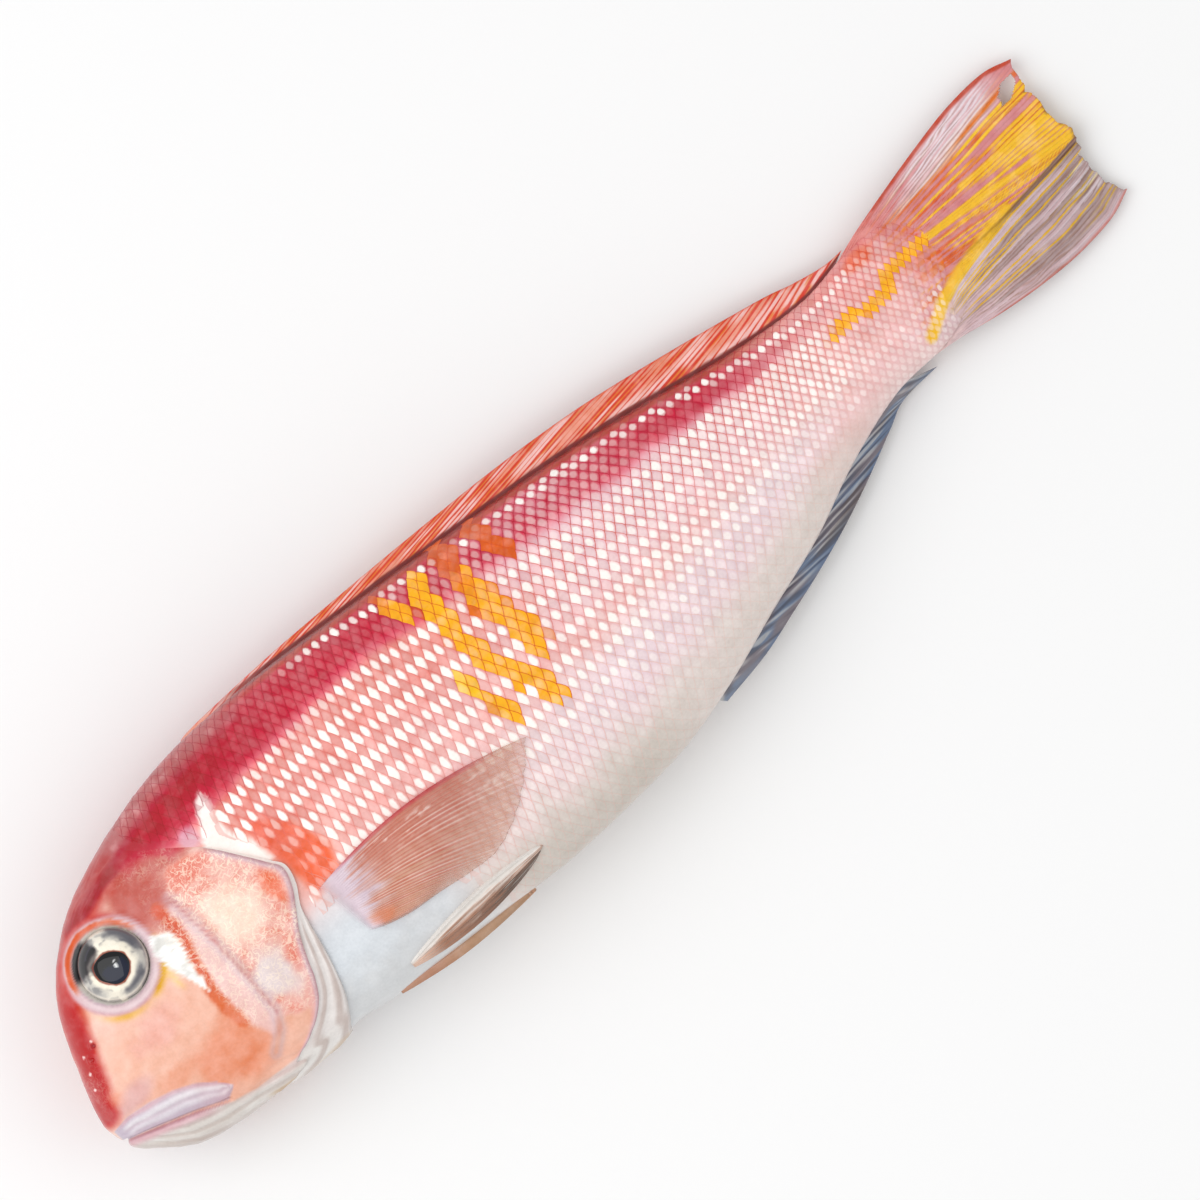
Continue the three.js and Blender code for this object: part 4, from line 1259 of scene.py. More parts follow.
@dataclass(frozen=True)
class Finish:
    """A wet, slightly glossy surface painted from the mesh's own colours."""

    name: str
    coat: float = 0.35
    coat_roughness: float = 0.12
    specular: float = 0.5
    bump_height: float = 0.00012
    fine_scale: float = 1400.0

    def start(self) -> tuple[bpy.types.Material, Graph, Node]:
        """Make an empty material with one Principled shader.

        Returns:
            The material, its graph and the shader.
        """
        made = bpy.data.materials.new(self.name)
        made.use_nodes = True
        made.node_tree.nodes.clear()
        g = Graph(made.node_tree)
        shader = g.add("ShaderNodeBsdfPrincipled")
        shader.inputs["Coat Weight"].default_value = self.coat
        shader.inputs["Coat Roughness"].default_value = self.coat_roughness
        shader.inputs["Specular IOR Level"].default_value = self.specular
        out = g.add("ShaderNodeOutputMaterial")
        g.link(shader.outputs[0], out.inputs["Surface"])
        return made, g, shader

    def dress(self, g: Graph, shader: Node, base: Socket, effects: dict) -> None:
        """Feed the shader with a colour, mottled, and with roughness and bump.

        Args:
            g: The material's graph.
            shader: The Principled shader.
            base: The colour.
            effects: The shared groups by name.
        """
        mottle = g.add("ShaderNodeGroup", node_tree=effects["mottle"])
        mottle.inputs["Fine Scale"].default_value = self.fine_scale
        g.link(base, mottle.inputs["Color"])
        g.link(mottle.outputs["Color"], shader.inputs["Base Color"])
        g.link(mottle.outputs["Roughness"], shader.inputs["Roughness"])
        lift = g.add("ShaderNodeBump")
        lift.inputs["Strength"].default_value = 0.5
        lift.inputs["Distance"].default_value = self.bump_height
        g.link(mottle.outputs["Height"], lift.inputs["Height"])
        g.link(lift.outputs[0], shader.inputs["Normal"])

    def build(self, effects: dict) -> bpy.types.Material:
        """Make the material of a plainly painted surface.

        Args:
            effects: The shared groups by name.

        Returns:
            The material.
        """
        made, g, shader = self.start()
        self.dress(g, shader, g.attribute("paint").outputs["Color"], effects)
        return made


@dataclass(frozen=True)
class GlintFinish(Finish):
    """Skin with pale threads and specks where the mesh's "glint" asks for them."""

    thread_scale: float = 560.0
    thread_width: float = 0.05

    def build(self, effects: dict) -> bpy.types.Material:
        """Make the material of the head's skin.

        Args:
            effects: The shared groups by name.

        Returns:
            The material.
        """
        made, g, shader = self.start()
        glint = g.attribute("glint").outputs["Fac"]
        threads = g.add("ShaderNodeGroup", node_tree=effects["threads"])
        threads.inputs["Scale"].default_value = self.thread_scale
        threads.inputs["Width"].default_value = self.thread_width
        finer = g.add("ShaderNodeGroup", node_tree=effects["threads"])
        finer.inputs["Scale"].default_value = self.thread_scale * 2.2
        finer.inputs["Width"].default_value = self.thread_width * 0.8
        both = g.math("MAXIMUM", threads.outputs[0], g.math("MULTIPLY", finer.outputs[0], 0.6))
        mask = g.math("MULTIPLY", both, g.math("MULTIPLY", glint, 0.85))
        base = g.mix(mask, g.attribute("paint").outputs["Color"], rgba("cover_gold"))
        self.dress(g, shader, base, effects)
        return made


@dataclass(frozen=True)
class ScaleFinish(Finish):
    """Scales, each with its own ground, rear line, painted shade on the part under the scale ahead, and a
    pale spot that is partly silver and partly a painted highlight.
    """

    line_width: float = 0.13
    spot_length: float = 0.31
    spot_width: float = 0.56
    spot_taper: float = 0.35
    ragged_scale: float = 620.0

    def build(self, effects: dict) -> bpy.types.Material:
        """Make the material of the scales.

        Args:
            effects: The shared groups by name.

        Returns:
            The material.
        """
        made, g, shader = self.start()
        along = g.attribute("along").outputs["Fac"]
        across = g.attribute("across").outputs["Fac"]
        bow = g.math("POWER", g.math("ABSOLUTE", across), 1.5)
        to_edge = g.math("SUBTRACT", g.math("MULTIPLY_ADD", bow, -0.5, 0.5), along)
        edge = g.rise(to_edge, self.line_width, 0.02)
        # painted shade: darker front part, which lies under the scale ahead
        front = g.rise(g.math("ADD", along, g.math("MULTIPLY", bow, -0.35)), -0.36, -0.52)
        line = g.math("MAXIMUM", edge, g.math("MULTIPLY", front, 0.6))
        base = g.mix(line, g.attribute("paint").outputs["Color"], g.attribute("line").outputs["Color"])
        # pale spot: the scale's silver with a painted highlight on it
        long_way = g.math("POWER", g.math("DIVIDE", g.math("ADD", along, 0.02), self.spot_length), 2.0)
        long_way = g.math("MULTIPLY", long_way, g.math("MULTIPLY_ADD", across, self.spot_taper, 1.0))
        wide_way = g.math("POWER", g.math("DIVIDE", across, self.spot_width), 2.0)
        strength = g.attribute("spot").outputs["Fac"]
        reach = g.math("POWER", g.math("MAXIMUM", strength, 1.0), -2.0)
        grain = g.add("ShaderNodeTexNoise")
        grain.inputs["Scale"].default_value = self.ragged_scale
        grain.inputs["Detail"].default_value = 2.0
        g.link(g.add("ShaderNodeTexCoord").outputs["Object"], grain.inputs["Vector"])
        ragged = g.math("MULTIPLY_ADD", grain.outputs[0], 1.8, 0.1)
        away = g.math("MULTIPLY", g.math("MULTIPLY", g.math("ADD", long_way, wide_way), reach), ragged)
        bell = g.math("EXPONENT", g.math("MULTIPLY", away, -1.0))
        spot = g.math("MULTIPLY", g.rise(bell, 0.16, 0.7), g.math("MINIMUM", strength, 1.0))
        self.dress(g, shader, g.mix(spot, base, rgba("pearl")), effects)
        return made


@dataclass(frozen=True)
class FinFinish(Finish):
    """Thin fin skin that lets light through where the mesh's "veil" is low."""

    def build(self, effects: dict) -> bpy.types.Material:
        """Make the material of the fins.

        Args:
            effects: The shared groups by name.

        Returns:
            The material.
        """
        made, g, shader = self.start()
        self.dress(g, shader, g.attribute("paint").outputs["Color"], effects)
        g.link(g.attribute("veil").outputs["Fac"], shader.inputs["Alpha"])
        return made


class Wardrobe:
    """All finishes, each built once."""

    def __init__(self) -> None:
        """Build the shared groups and the materials."""
        effects = {"mottle": Effects.mottle(), "threads": Effects.threads()}
        self.head = GlintFinish("HeadSkin", coat=0.4, specular=0.35).build(effects)
        self.trunk = Finish("TrunkSkin").build(effects)
        self.scales = ScaleFinish("Scales", coat=0.25, coat_roughness=0.18, specular=0.3,
                                  bump_height=0.00005).build(effects)
        self.fins = FinFinish("Fins", coat=0.3, bump_height=0.00006).build(effects)
        self.eye = Finish("EyeDome", coat=0.8, coat_roughness=0.03, specular=0.3, bump_height=0.00002,
                          fine_scale=2500).build(effects)
        self.pupil = Finish("Pupil", coat=0.7, coat_roughness=0.02, specular=0.05, bump_height=0.0,
                            fine_scale=900).build(effects)


class Piece:
    """Something that builds one or more shown meshes."""

    def declare(self, made: Object, material: bpy.types.Material, node: str, slot: str) -> None:
        """Give a mesh its material and its place in the frame.

        Args:
            made: The mesh object.
            material: Its finish.
            node: The CAD node that it stands for.
            slot: The record's material slot; not used.
        """
        if not made.data.materials:
            made.data.materials.append(material)
        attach(made, BODY)
        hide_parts(node)
        log.info("%s: %d faces", made.name, len(made.data.polygons))


@dataclass
class HeadSkin(Piece):
    """Head with jaws, eye sockets, gill covers and their membranes."""

    around: int = 400
    rings: int = 190
    ring_power: float = 1.2
    membrane_rings: int = 12
    socket_radius: float = 9.3
    socket_depth: float = 3.2
    rim_radius: float = 11.2
    rim_height: float = 0.75
    eye_x: float = 31.1
    eye_y: float = 27.3
    bone_line: tuple = ((53.7, 23.7), (53.2, 12.5), (51.7, 5), (50.7, -5), (49.5, -11), (44, -16), (34, -18))
    mouth_line: tuple = (
        (1.0, -5.7), (1.9, -5.9), (5, -7.2), (12.5, -10.4), (19, -13.3), (24, -15.9), (27.5, -17.2),
    )
    jaw_plate: tuple = (
        (1.4, -2.2), (6, -2), (12.5, -3.2), (19, -5.5), (24, -8.2), (28, -11.8), (29.6, -14.6),
        (29.2, -15.8), (27, -16.4), (24, -15), (19, -12.5), (12.5, -9.7), (6, -7), (1.9, -5.2),
    )
    nostrils: tuple = ((13, 16.8), (10.2, 14.6))
    heart: tuple = (52.0, 12.0, 21.3)
    inward: tuple = (0.05, 0.16)

    def edge_places(self, curve: SmoothCurve, angle: Array) -> Array:
        """Return the places where an edge of the gill cover crosses the skin.

        Args:
            curve: The edge, as x over turned levels.
            angle: Girth angles.

        Returns:
            Places counted in sections.
        """
        place = np.full(len(angle), 8.0)
        for _ in range(12):
            place = FORM.place_at(curve.value_at(-FORM.skin(place, angle)[:, 1]))
        return place

    def relief(self, x: Array, y: Array) -> Array:
        """Return how far the head's forms stand over the nominal skin.

        Args:
            x: Distances from the snout.
            y: Levels.

        Returns:
            Heights in millimetres.
        """
        ring = np.hypot(x - self.eye_x, y - self.eye_y)
        out = self.rim_height * bump(ring - self.rim_radius, 1.25) * smooth(9.0, 10.2, ring)
        out -= self.socket_depth * smooth(self.socket_radius + 0.4, self.socket_radius - 1.6, ring)
        bone, _ = distance_to(SmoothCurve(self.bone_line).samples(50), x, y)
        out += 0.2 * bump(bone, 1.3)
        out -= 0.12 * bump(bone - 2.4, 1.2) * (ring > 12)
        plate = depth_inside(self.jaw_plate, x, y)
        out += 0.5 * smooth(-0.15, 0.55, plate)
        upper = read_line(FIELD.jaw_upper, x)
        lower = read_line(FIELD.jaw_lower, x)
        across = (upper - y) / np.maximum(upper - lower, 0.3)
        ridges = np.cos(2 * math.pi * 3 * (across + 0.05 * FIELD.coarse.at(x / 7, across)))
        out += 0.10 * ridges * smooth(0.1, 0.8, plate) * smooth(2, 6, x)
        mouth, _ = distance_to(SmoothCurve(self.mouth_line).samples(50), x, y)
        out -= 1.1 * bump(mouth, 0.55) * smooth(28.3, 27, x)
        lip = read_line(self.mouth_line, x)
        out += 0.3 * bump(lip - y - 1.8, 0.9) * smooth(24, 18, x)
        for spot_x, spot_y in self.nostrils:
            away = np.hypot(x - spot_x, y - spot_y)
            out += 0.22 * bump(away - 1.0, 0.35) - 0.7 * bump(away, 0.55)
        belly = np.interp(x, [s[1][0] for s in SECTIONS[:11]], [s[1][1] for s in SECTIONS[:11]])
        throat = smooth(1.0, 3.0, lip - y) * smooth(62, 54, x) * smooth(3, 9, x)
        out -= 0.32 * throat * FIELD.fold_lines(x, y - belly)
        out += 0.12 * FIELD.rough(x, y, 4.5) * smooth(12, 14, ring)
        return out

    def glints(self, x: Array, y: Array) -> Array:
        """Return where pale threads show on the head, from 0 to 1.

        Args:
            x: Distances from the snout.
            y: Levels.

        Returns:
            Strengths from 0 to 1.
        """
        cover = smooth(-0.5, 1.5, depth_inside(FIELD.gill_plate, x, y))
        strong = cover * lerp(0.9, 0.55, smooth(6, -8, y)) * (0.75 + 0.35 * FIELD.rough(x + 3, y, 3.0))
        strong *= 1.0 - 0.6 * smooth(1.2, 0.6, oval(x, y, (73.6, 12.5), (4, 8)))
        fleck = 0.5 * smooth(42.5, 46, x) * smooth(53, 51, x) * smooth(-12, -6, y) * smooth(28, 24, y)
        nape = 0.22 * smooth(42, 50, x) * smooth(22, 32, y) * smooth(44, 39, y)
        nape *= 0.5 + FIELD.rough(x, y, 2.5)
        snout = 0.12 * bump(oval(x, y, (6, 9), (4, 6)), 1.0)
        return np.clip(np.maximum(np.maximum(strong, fleck), nape) + snout, 0, 1)

    def build(self, wardrobe: Wardrobe) -> Object:
        """Build the head's skin.

        Args:
            wardrobe: The finishes.

        Returns:
            The mesh object.
        """
        angle = 2 * math.pi * np.arange(self.around) / self.around
        cover = self.edge_places(FORM.cover, angle)
        membrane = np.maximum(self.edge_places(FORM.membrane, angle), cover + 0.02)
        rings, marks = [], []
        for i in range(1, self.rings + 1):
            place = cover * (i / self.rings) ** self.ring_power
            nominal = FORM.skin(place, angle)
            out = self.relief(nominal[:, 0], nominal[:, 1])
            out *= smooth(0.0, 0.12, np.full(self.around, i / self.rings)) * 0.85 + 0.15
            rings.append(FORM.lifted(place, angle, out))
            marks.append(np.zeros(self.around))
        low = 1.0 - smooth(GILL_TOP - 3, GILL_TOP + 2, rings[-1][:, 1])
        for i in range(self.membrane_rings):
            share = (i / (self.membrane_rings - 1)) ** 0.8
            place = lerp(cover + 0.01, membrane, share)
            pleat = np.sin(share * 4.2 * math.pi + 0.7 * np.sin(6 * angle))
            wide = smooth(0.05, 0.35, membrane - cover)
            inset = COVER_STEP + 0.5 * share + 0.22 * wide * pleat
            rings.append(FORM.lifted(place, angle, -inset * low))
            # marks above 1 lie in the pleats' troughs, which get painted shade below
            marks.append(low * (1.0 + 0.8 * wide * smooth(0.2, -0.9, pleat)))
        heart = np.array(self.heart)
        for pull in self.inward:
            rings.append(lerp(rings[-1], heart, pull))
            marks.append(np.ones(self.around))
        back, belly = FORM.section(np.array([0.0]))
        tip = np.array([[back[0, 0], back[0, 1], belly[0, 2]]])
        points = np.concatenate([tip, *rings, heart[None, :]])
        mark = np.concatenate([[0.0], *marks, [1.0]])
        faces = outward(points, tube_faces(len(rings), self.around))
        x, y = points[:, 0], points[:, 1]
        paint = FIELD.head(x, y)
        nape = smooth(45, 53, x + 2 * FIELD.rough(x, y, 4.0)) * smooth(38, 44, y)
        paint.rgb = lerp(paint.rgb, FIELD.trunk(x, y).rgb, nape[:, None])
        paint.lay("membrane", 0.94 * smooth(0.05, 0.6, mark))
        # painted shade in the troughs of the membrane's pleats
        paint.lay("fold", 0.55 * smooth(1.1, 1.75, mark))
        paint.lay("pearl", 0.9 * smooth(0.05, 0.6, mark) * smooth(12, 20, y))
        paint.lay("right_gill", 0.8 * smooth(0.05, 0.6, mark) * smooth(-26.2, -27.6, y) * smooth(62, 58, x))
        made = new_object("head_skin", FORM.to_frame(points, Layer.SKIN), faces)
        set_colours(made, "paint", paint.rgb)
        set_values(made, "glint", self.glints(x, y) * (mark < 0.05))
        self.declare(made, wardrobe.head, "fish_body", "skin")
        return made


@dataclass
class TrunkSkin(Piece):
    """Trunk under the scales, from inside the head to the tail fin's root."""

    around: int = 240
    rings: int = 190
    first_place: float = 7.4
    ring_power: float = 1.3

    def build(self, wardrobe: Wardrobe) -> Object:
        """Build the trunk's skin.

        Args:
            wardrobe: The finishes.

        Returns:
            The mesh object.
        """
        angle = 2 * math.pi * np.arange(self.around) / self.around
        rings = []
        for i in range(self.rings + 1):
            share = (i / self.rings) ** self.ring_power
            place = np.full(self.around, lerp(self.first_place, LAST_SECTION, share))
            nominal = FORM.skin(place, angle)
            x, y = nominal[:, 0], nominal[:, 1]
            scaled = smooth(FORM.membrane.value_at(-y), FORM.membrane.value_at(-y) + 6, x)
            inset = FORM.trunk_inset(nominal) + SKIN_UNDER_SCALES * scaled
            rings.append(FORM.lifted(place, angle, -inset))
        ends = []
        for place in (self.first_place, float(LAST_SECTION)):
            back, belly = FORM.section(np.array([place]))
            middle = (back[0, :2] + belly[0, :2]) / 2
            ends.append(np.array([[*middle, belly[0, 2]]]))
        ends[1][0, 0] += 1.0
        points = np.concatenate([ends[0], *rings, ends[1]])
        faces = outward(points, tube_faces(len(rings), self.around))
        made = new_object("trunk_skin", FORM.to_frame(points, Layer.SKIN), faces)
        paint = FIELD.trunk(points[:, 0], points[:, 1])
        set_colours(made, "paint", paint.rgb)
        self.declare(made, wardrobe.trunk, "fish_body", "skin")
        return made


@dataclass
class ScaleCoat(Piece):
    """Overlapping scales on one flank, set out in rows from the flank's middle."""

    side: Side
    first_x: float = 53.0
    last_x: float = 304.0
    pitches: tuple = (
        (50, 2.6), (140, 2.75), (175, 3.15), (215, 3.15), (245, 2.65), (275, 2.25), (305, 2.0),
    )
    row_heights: tuple = (
        (50, 2.9), (125, 3.15), (160, 2.7), (195, 2.15), (235, 2.05), (270, 1.85), (305, 1.5),
    )
    girth_gap: float = 0.06
    girth_steps: int = 400
    overlap: float = 1.04
    lift: float = 0.09
    skirt: float = 0.05
    bed: float = 0.26
    seed: int = 5
    row_line = SmoothCurve(((50, 12), (75, 15.5), (90, 17), (105, 17.3), (115, 16.6), (125, 15.3),
                            (137, 13.2), (150, 11.2), (175, 8), (200, 5.2), (225, 3.4), (250, 3.0),
                            (275, 2.8), (305, 2.5)))

    def template(self) -> Object:
        """Make one scale, in shares of the pitch and of the row's height.

        Returns:
            A hidden mesh object.
        """
        lengths, widths = 4, 6
        points = []
        for i in range(lengths + 3):
            for j in range(widths + 1):
                y = 2.0 * j / widths - 1.0
                rear = 0.5 - 0.5 * abs(y) ** 1.5
                front = -0.95 + 0.3 * abs(y) ** 2
                x = lerp(front, rear, min(i / lengths, 1.0) ** 0.85)
                z = self.lift * (x + 1.0) - (self.skirt if i > lengths + 1 else 0.0)
                points.append((x, y, z))
        faces = []
        width = widths + 1
        for i in (*range(lengths), lengths + 1):
            for j in range(widths):
                a = i * width + j
                faces.append([a, a + width, a + width + 1, a + 1])
        made = new_object("scale_template", np.array(points), np.array(faces))
        if made.data.polygons[0].normal.z < 0:
            made.data.flip_normals()
        set_values(made, "along", np.array(points)[:, 0])
        set_values(made, "across", np.array(points)[:, 1])
        return made

    def columns(self) -> tuple[Array, Array]:
        """Return a table of x and of how many scales lie ahead of it.

        Returns:
            The distances from the snout and the counts.
        """
        x = np.linspace(self.first_x, self.last_x, 2000)
        pitch = read_line(self.pitches, x)
        count = np.concatenate([[0.0], np.cumsum(np.diff(x) / pitch[:-1])])
        return x, count

    def lattice(self) -> dict[str, Array]:
        """Lay out the scales' places by walking round the girth from the flank's middle.

        Returns:
            Arrays by name: place, angle, x, row.
        """
        table_x, table_n = self.columns()
        girth = np.linspace(self.girth_gap, math.pi - self.girth_gap, self.girth_steps)
        places, angles, spots, rows = [], [], [], []
        for parity in (0, 1):
            for n in np.arange(0.5 * parity, table_n[-1], 1.0):
                x = float(np.interp(n, table_n, table_x))
                place = float(FORM.place_at(np.array([x]))[0])
                ring = FORM.skin(np.full(self.girth_steps, place), girth)
                steps = np.linalg.norm(np.diff(ring, axis=0), axis=1)
                arc = np.concatenate([[0.0], np.cumsum(steps)])
                middle = float(np.interp(-self.row_line.value_at(np.array([x]))[0], -ring[:, 1], arc))
                height = float(read_line(self.row_heights, x))
                lowest = math.ceil(-middle / height)
                highest = math.floor((arc[-1] - middle) / height)
                for row in range(lowest, highest + 1):
                    if row % 2 != parity:
                        continue
                    angle = float(np.interp(middle + row * height, arc, girth))
                    places.append(place)
                    angles.append(angle if self.side is Side.LEFT else 2 * math.pi - angle)
                    spots.append(x)
                    rows.append(row)
        found = {"place": places, "angle": angles, "x": spots, "row": rows}
        return {name: np.array(values) for name, values in found.items()}

    def build(self, wardrobe: Wardrobe) -> Object:
        """Build the flank's scales.

        Args:
            wardrobe: The finishes.

        Returns:
            The mesh object.
        """
        grid = self.lattice()
        angle = grid["angle"]
        nominal = FORM.skin(grid["place"], angle)
        x, y = nominal[:, 0], nominal[:, 1]
        _, belly = FORM.section(grid["place"])
        mid = FIELD.flank_mid.value_at(x)
        under = (mid - y) / np.maximum(mid - belly[:, 1], 1.0)
        index = np.nonzero(self.keeps(x, y, under))[0]
        gold = Paint(len(x), "amber")
        FIELD.gold(x, y, gold)
        line, calm, spot = self.marks(x, y, grid["row"])
        luck = np.random.default_rng(self.seed).uniform(-1, 1, (3, len(x)))
        spot *= 0.95 + 0.3 * luck[0]
        thick = lerp(1.0, 0.5, smooth(250, 296, x)) * lerp(1.0, 0.6, smooth(0.35, 0.8, under))
        sizes = np.stack([read_line(self.pitches, x), read_line(self.row_heights, x), thick], axis=1)
        cloud = new_object(f"scale_places_{self.side.name.lower()}", nominal[index] * MM, [])
        self.set_vectors(cloud, "size", sizes[index] * MM)
        # spot: strength of the pale spot, partly silver and partly a painted highlight
        set_values(cloud, "spot", spot[index])
        made = self.realize(cloud, wardrobe)
        each = np.repeat(index, len(made.data.vertices) // len(index))
        where = self.settle(made, nominal[each], grid["x"][each], angle[each])
        paint = FIELD.trunk(where[:, 0], where[:, 1])
        paint.rgb *= (1.0 + 0.04 * luck[1, each] * smooth(0.8, 0.4, under[each]))[:, None]
        paint.lay("lilac", 0.12 * (1 + luck[2, each]) * smooth(100, 130, x[each]) * smooth(24, 14, y[each])
                  * smooth(0.8, 0.5, under[each]))
        shine = 1.0 + 0.10 * FIELD.rough(where[:, 0], where[:, 1], 1.8)
        paint.rgb = lerp(paint.rgb, gold.rgb[each] * shine[:, None], self.golden(x, y)[each, None])
        set_colours(made, "paint", paint.rgb)
        set_colours(made, "line", lerp(line[each], paint.rgb, calm[each, None]))
        self.declare(made, wardrobe.scales, "fish_body", "skin")
        return made

    def keeps(self, x: Array, y: Array, under: Array) -> Array:
        """Tell which scales the skin has: none on the breast, the white patch and the tail fin.

        Args:
            x: Distances of the scales from the snout.
            y: Levels of the scales.
            under: Shares of the way from the flank's middle to the belly.

        Returns:
            True for each scale that is kept.
        """
        behind = x - FORM.membrane.value_at(-y)
        keep = (behind > 0.8) & ~((x < 88) & (under > 0.28))
        keep &= x < self.last_x - 9.0 * smooth(9, -13, y) + 1.5 * FIELD.fine.at(y / 2.1, x / 9)
        keep &= ~((x < 112 - 6 * FIELD.coarse.at(x / 5, y / 5)) & (under > 0.58))
        return keep & (depth_inside(FIELD.white_patch, x, y) < 0.2)

    def settle(self, made: Object, centre: Array, x: Array, angle: Array) -> Array:
        """Bend the scales onto the body's form, so that each lies close over the next.

        Args:
            made: All the scales as one mesh, each still flat.
            centre: For each vertex, the place of its scale in fish coordinates.
            x: The distances of the scales from the snout.
            angle: The girth angles of the scales.

        Returns:
            The vertices in fish coordinates.
        """
        count = len(made.data.vertices)
        flat = np.empty(3 * count, dtype=np.float32)
        made.data.vertices.foreach_get("co", flat)
        own = flat.reshape(-1, 3) / MM - centre
        step = FORM.skin(FORM.place_at(x), angle + 0.01) - FORM.skin(FORM.place_at(x), angle - 0.01)
        rate = np.maximum(np.linalg.norm(step, axis=1) / 0.02, 2.0)
        place = FORM.place_at(x + own[:, 0])
        around = angle - own[:, 1] / rate
        where = FORM.skin(place, around)
        out = own[:, 2] - self.bed - FORM.trunk_inset(where)
        where += FORM.normal(place, around) * out[:, None]
        bent = FORM.to_frame(where, Layer.SCALE).astype(np.float32).ravel()
        made.data.vertices.foreach_set("co", bent)
        across = np.empty(count, dtype=np.float32)
        layer = made.data.attributes["across"].data
        layer.foreach_get("value", across)
        layer.foreach_set("value", across * self.side.value)
        made.data.attributes.remove(made.data.attributes["size"])
        made.data.update()
        return where

    @staticmethod
    def set_vectors(target: Object, name: str, values: Array) -> None:
        """Store a vector at each vertex."""
        layer = target.data.attributes.new(name, "FLOAT_VECTOR", "POINT")
        layer.data.foreach_set("vector", np.asarray(values, dtype=np.float32).ravel())

    def marks(self, x: Array, y: Array, row: Array) -> tuple[Array, Array, Array]:
        """Return each scale's line colour, how little it shows and how bright the pale spot is, which is
        partly the scale's silver and partly a painted highlight.

        Args:
            x: Distances of the scales from the snout.
            y: Levels of the scales.
            row: Row numbers from the flank's middle.

        Returns:
            The line colours, how far the lines blend into the ground, and the spots' strengths.
        """
        over_mid, under, from_back = FIELD.levels(x, y)
        rough = FIELD.rough(x, y + 50, 5.0)
        over = y - FIELD.crimson_edge.value_at(x) + 0.8 * rough
        rear = smooth(140, 185, x)
        lines = Paint(len(x), "rose_red")
        lines.lay("line_red", rear * smooth(0.0, 0.3, over_mid))
        lines.lay("line_peach", smooth(-0.1, 0.35, under) * lerp(0.8, 1.0, rear))
        lines.lay("crimson", 0.8 * smooth(-4, -1, over))
        lines.lay("crimson_deep", lerp(0.9, 0.35, rear) * smooth(-1, 1.5, over))
        plain = smooth(0.5, 0.85, under + 0.1 * rough)
        calm = 0.5 - 0.4 * rear * smooth(0.0, 0.35, over_mid) + 0.5 * plain
        calm += 0.6 * smooth(248, 284, x) - 0.3 * smooth(0.05, 0.25, under)
        # brighter spots on every other row: painted highlights along the flank's middle
        even = (row % 2 == 0).astype(float)
        flank = smooth(-0.8, -2.6, over) * smooth(0.62, 0.25, under + 0.12 * rough)
        banded = smooth(0.72, 0.5, over_mid) * smooth(252, 222, x)
        dim = lerp(0.12, 0.4, smooth(150, 200, x))
        strong = lerp(1.25, 1.05, smooth(140, 190, x))
        bright = lerp(np.full(len(x), 0.8), lerp(dim, strong, even), banded)
        spot = flank * bright * smooth(284, 262, x)
        middle = lerp(0.06, 0.3, smooth(135, 165, x)) * smooth(78, 110, x)
        middle *= lerp(1.0, 0.2, smooth(195, 225, x))
        spot = np.maximum(spot, middle * smooth(-2, 1, over))
        lower = 0.5 * smooth(0.1, 0.4, under) * smooth(0.85, 0.5, under)
        spot = np.maximum(spot, lower * lerp(0.5, 1.0, even))
        spot = np.maximum(spot, 0.3 * smooth(255, 275, x) * smooth(300, 290, x))
        # painted highlights: a row of pale spots along the dorsal fin's base
        border = smooth(2.3, 2.9, from_back) * smooth(5.0, 4.3, from_back)
        spot = np.maximum(spot, 0.95 * border * smooth(104, 130, x) * smooth(286, 280, x))
        spot *= 1.0 - smooth(2.6, 2.0, from_back) * smooth(84, 110, x)
        patch = smooth(-0.5, 1.0, depth_inside(FIELD.orange_patch, x, y))
        spot = lerp(spot, 0.30 * even, patch)
        golden = self.golden(x, y)
        amber = Paint(len(x), "amber")
        amber.lay("band_red", np.full(len(x), 0.5))
        lines.rgb = lerp(lines.rgb, amber.rgb, golden[:, None])
        calm *= 1.0 - 0.7 * golden
        return lines.rgb, np.clip(calm, 0, 0.97), np.clip(spot * (1.0 - 0.9 * golden), 0, 1.4)

    @staticmethod
    def golden(x: Array, y: Array) -> Array:
        """Return 1 where the golden bars lie and 0 elsewhere.

        Args:
            x: Distances of the scales from the snout.
            y: Levels of the scales.

        Returns:
            Shares from 0 to 1.
        """
        test = Paint(len(x), "pearl")
        test.rgb[:] = 0.0
        FIELD.gold(x, y, test)
        return np.clip(1.2 * test.rgb.max(axis=1), 0, 1)

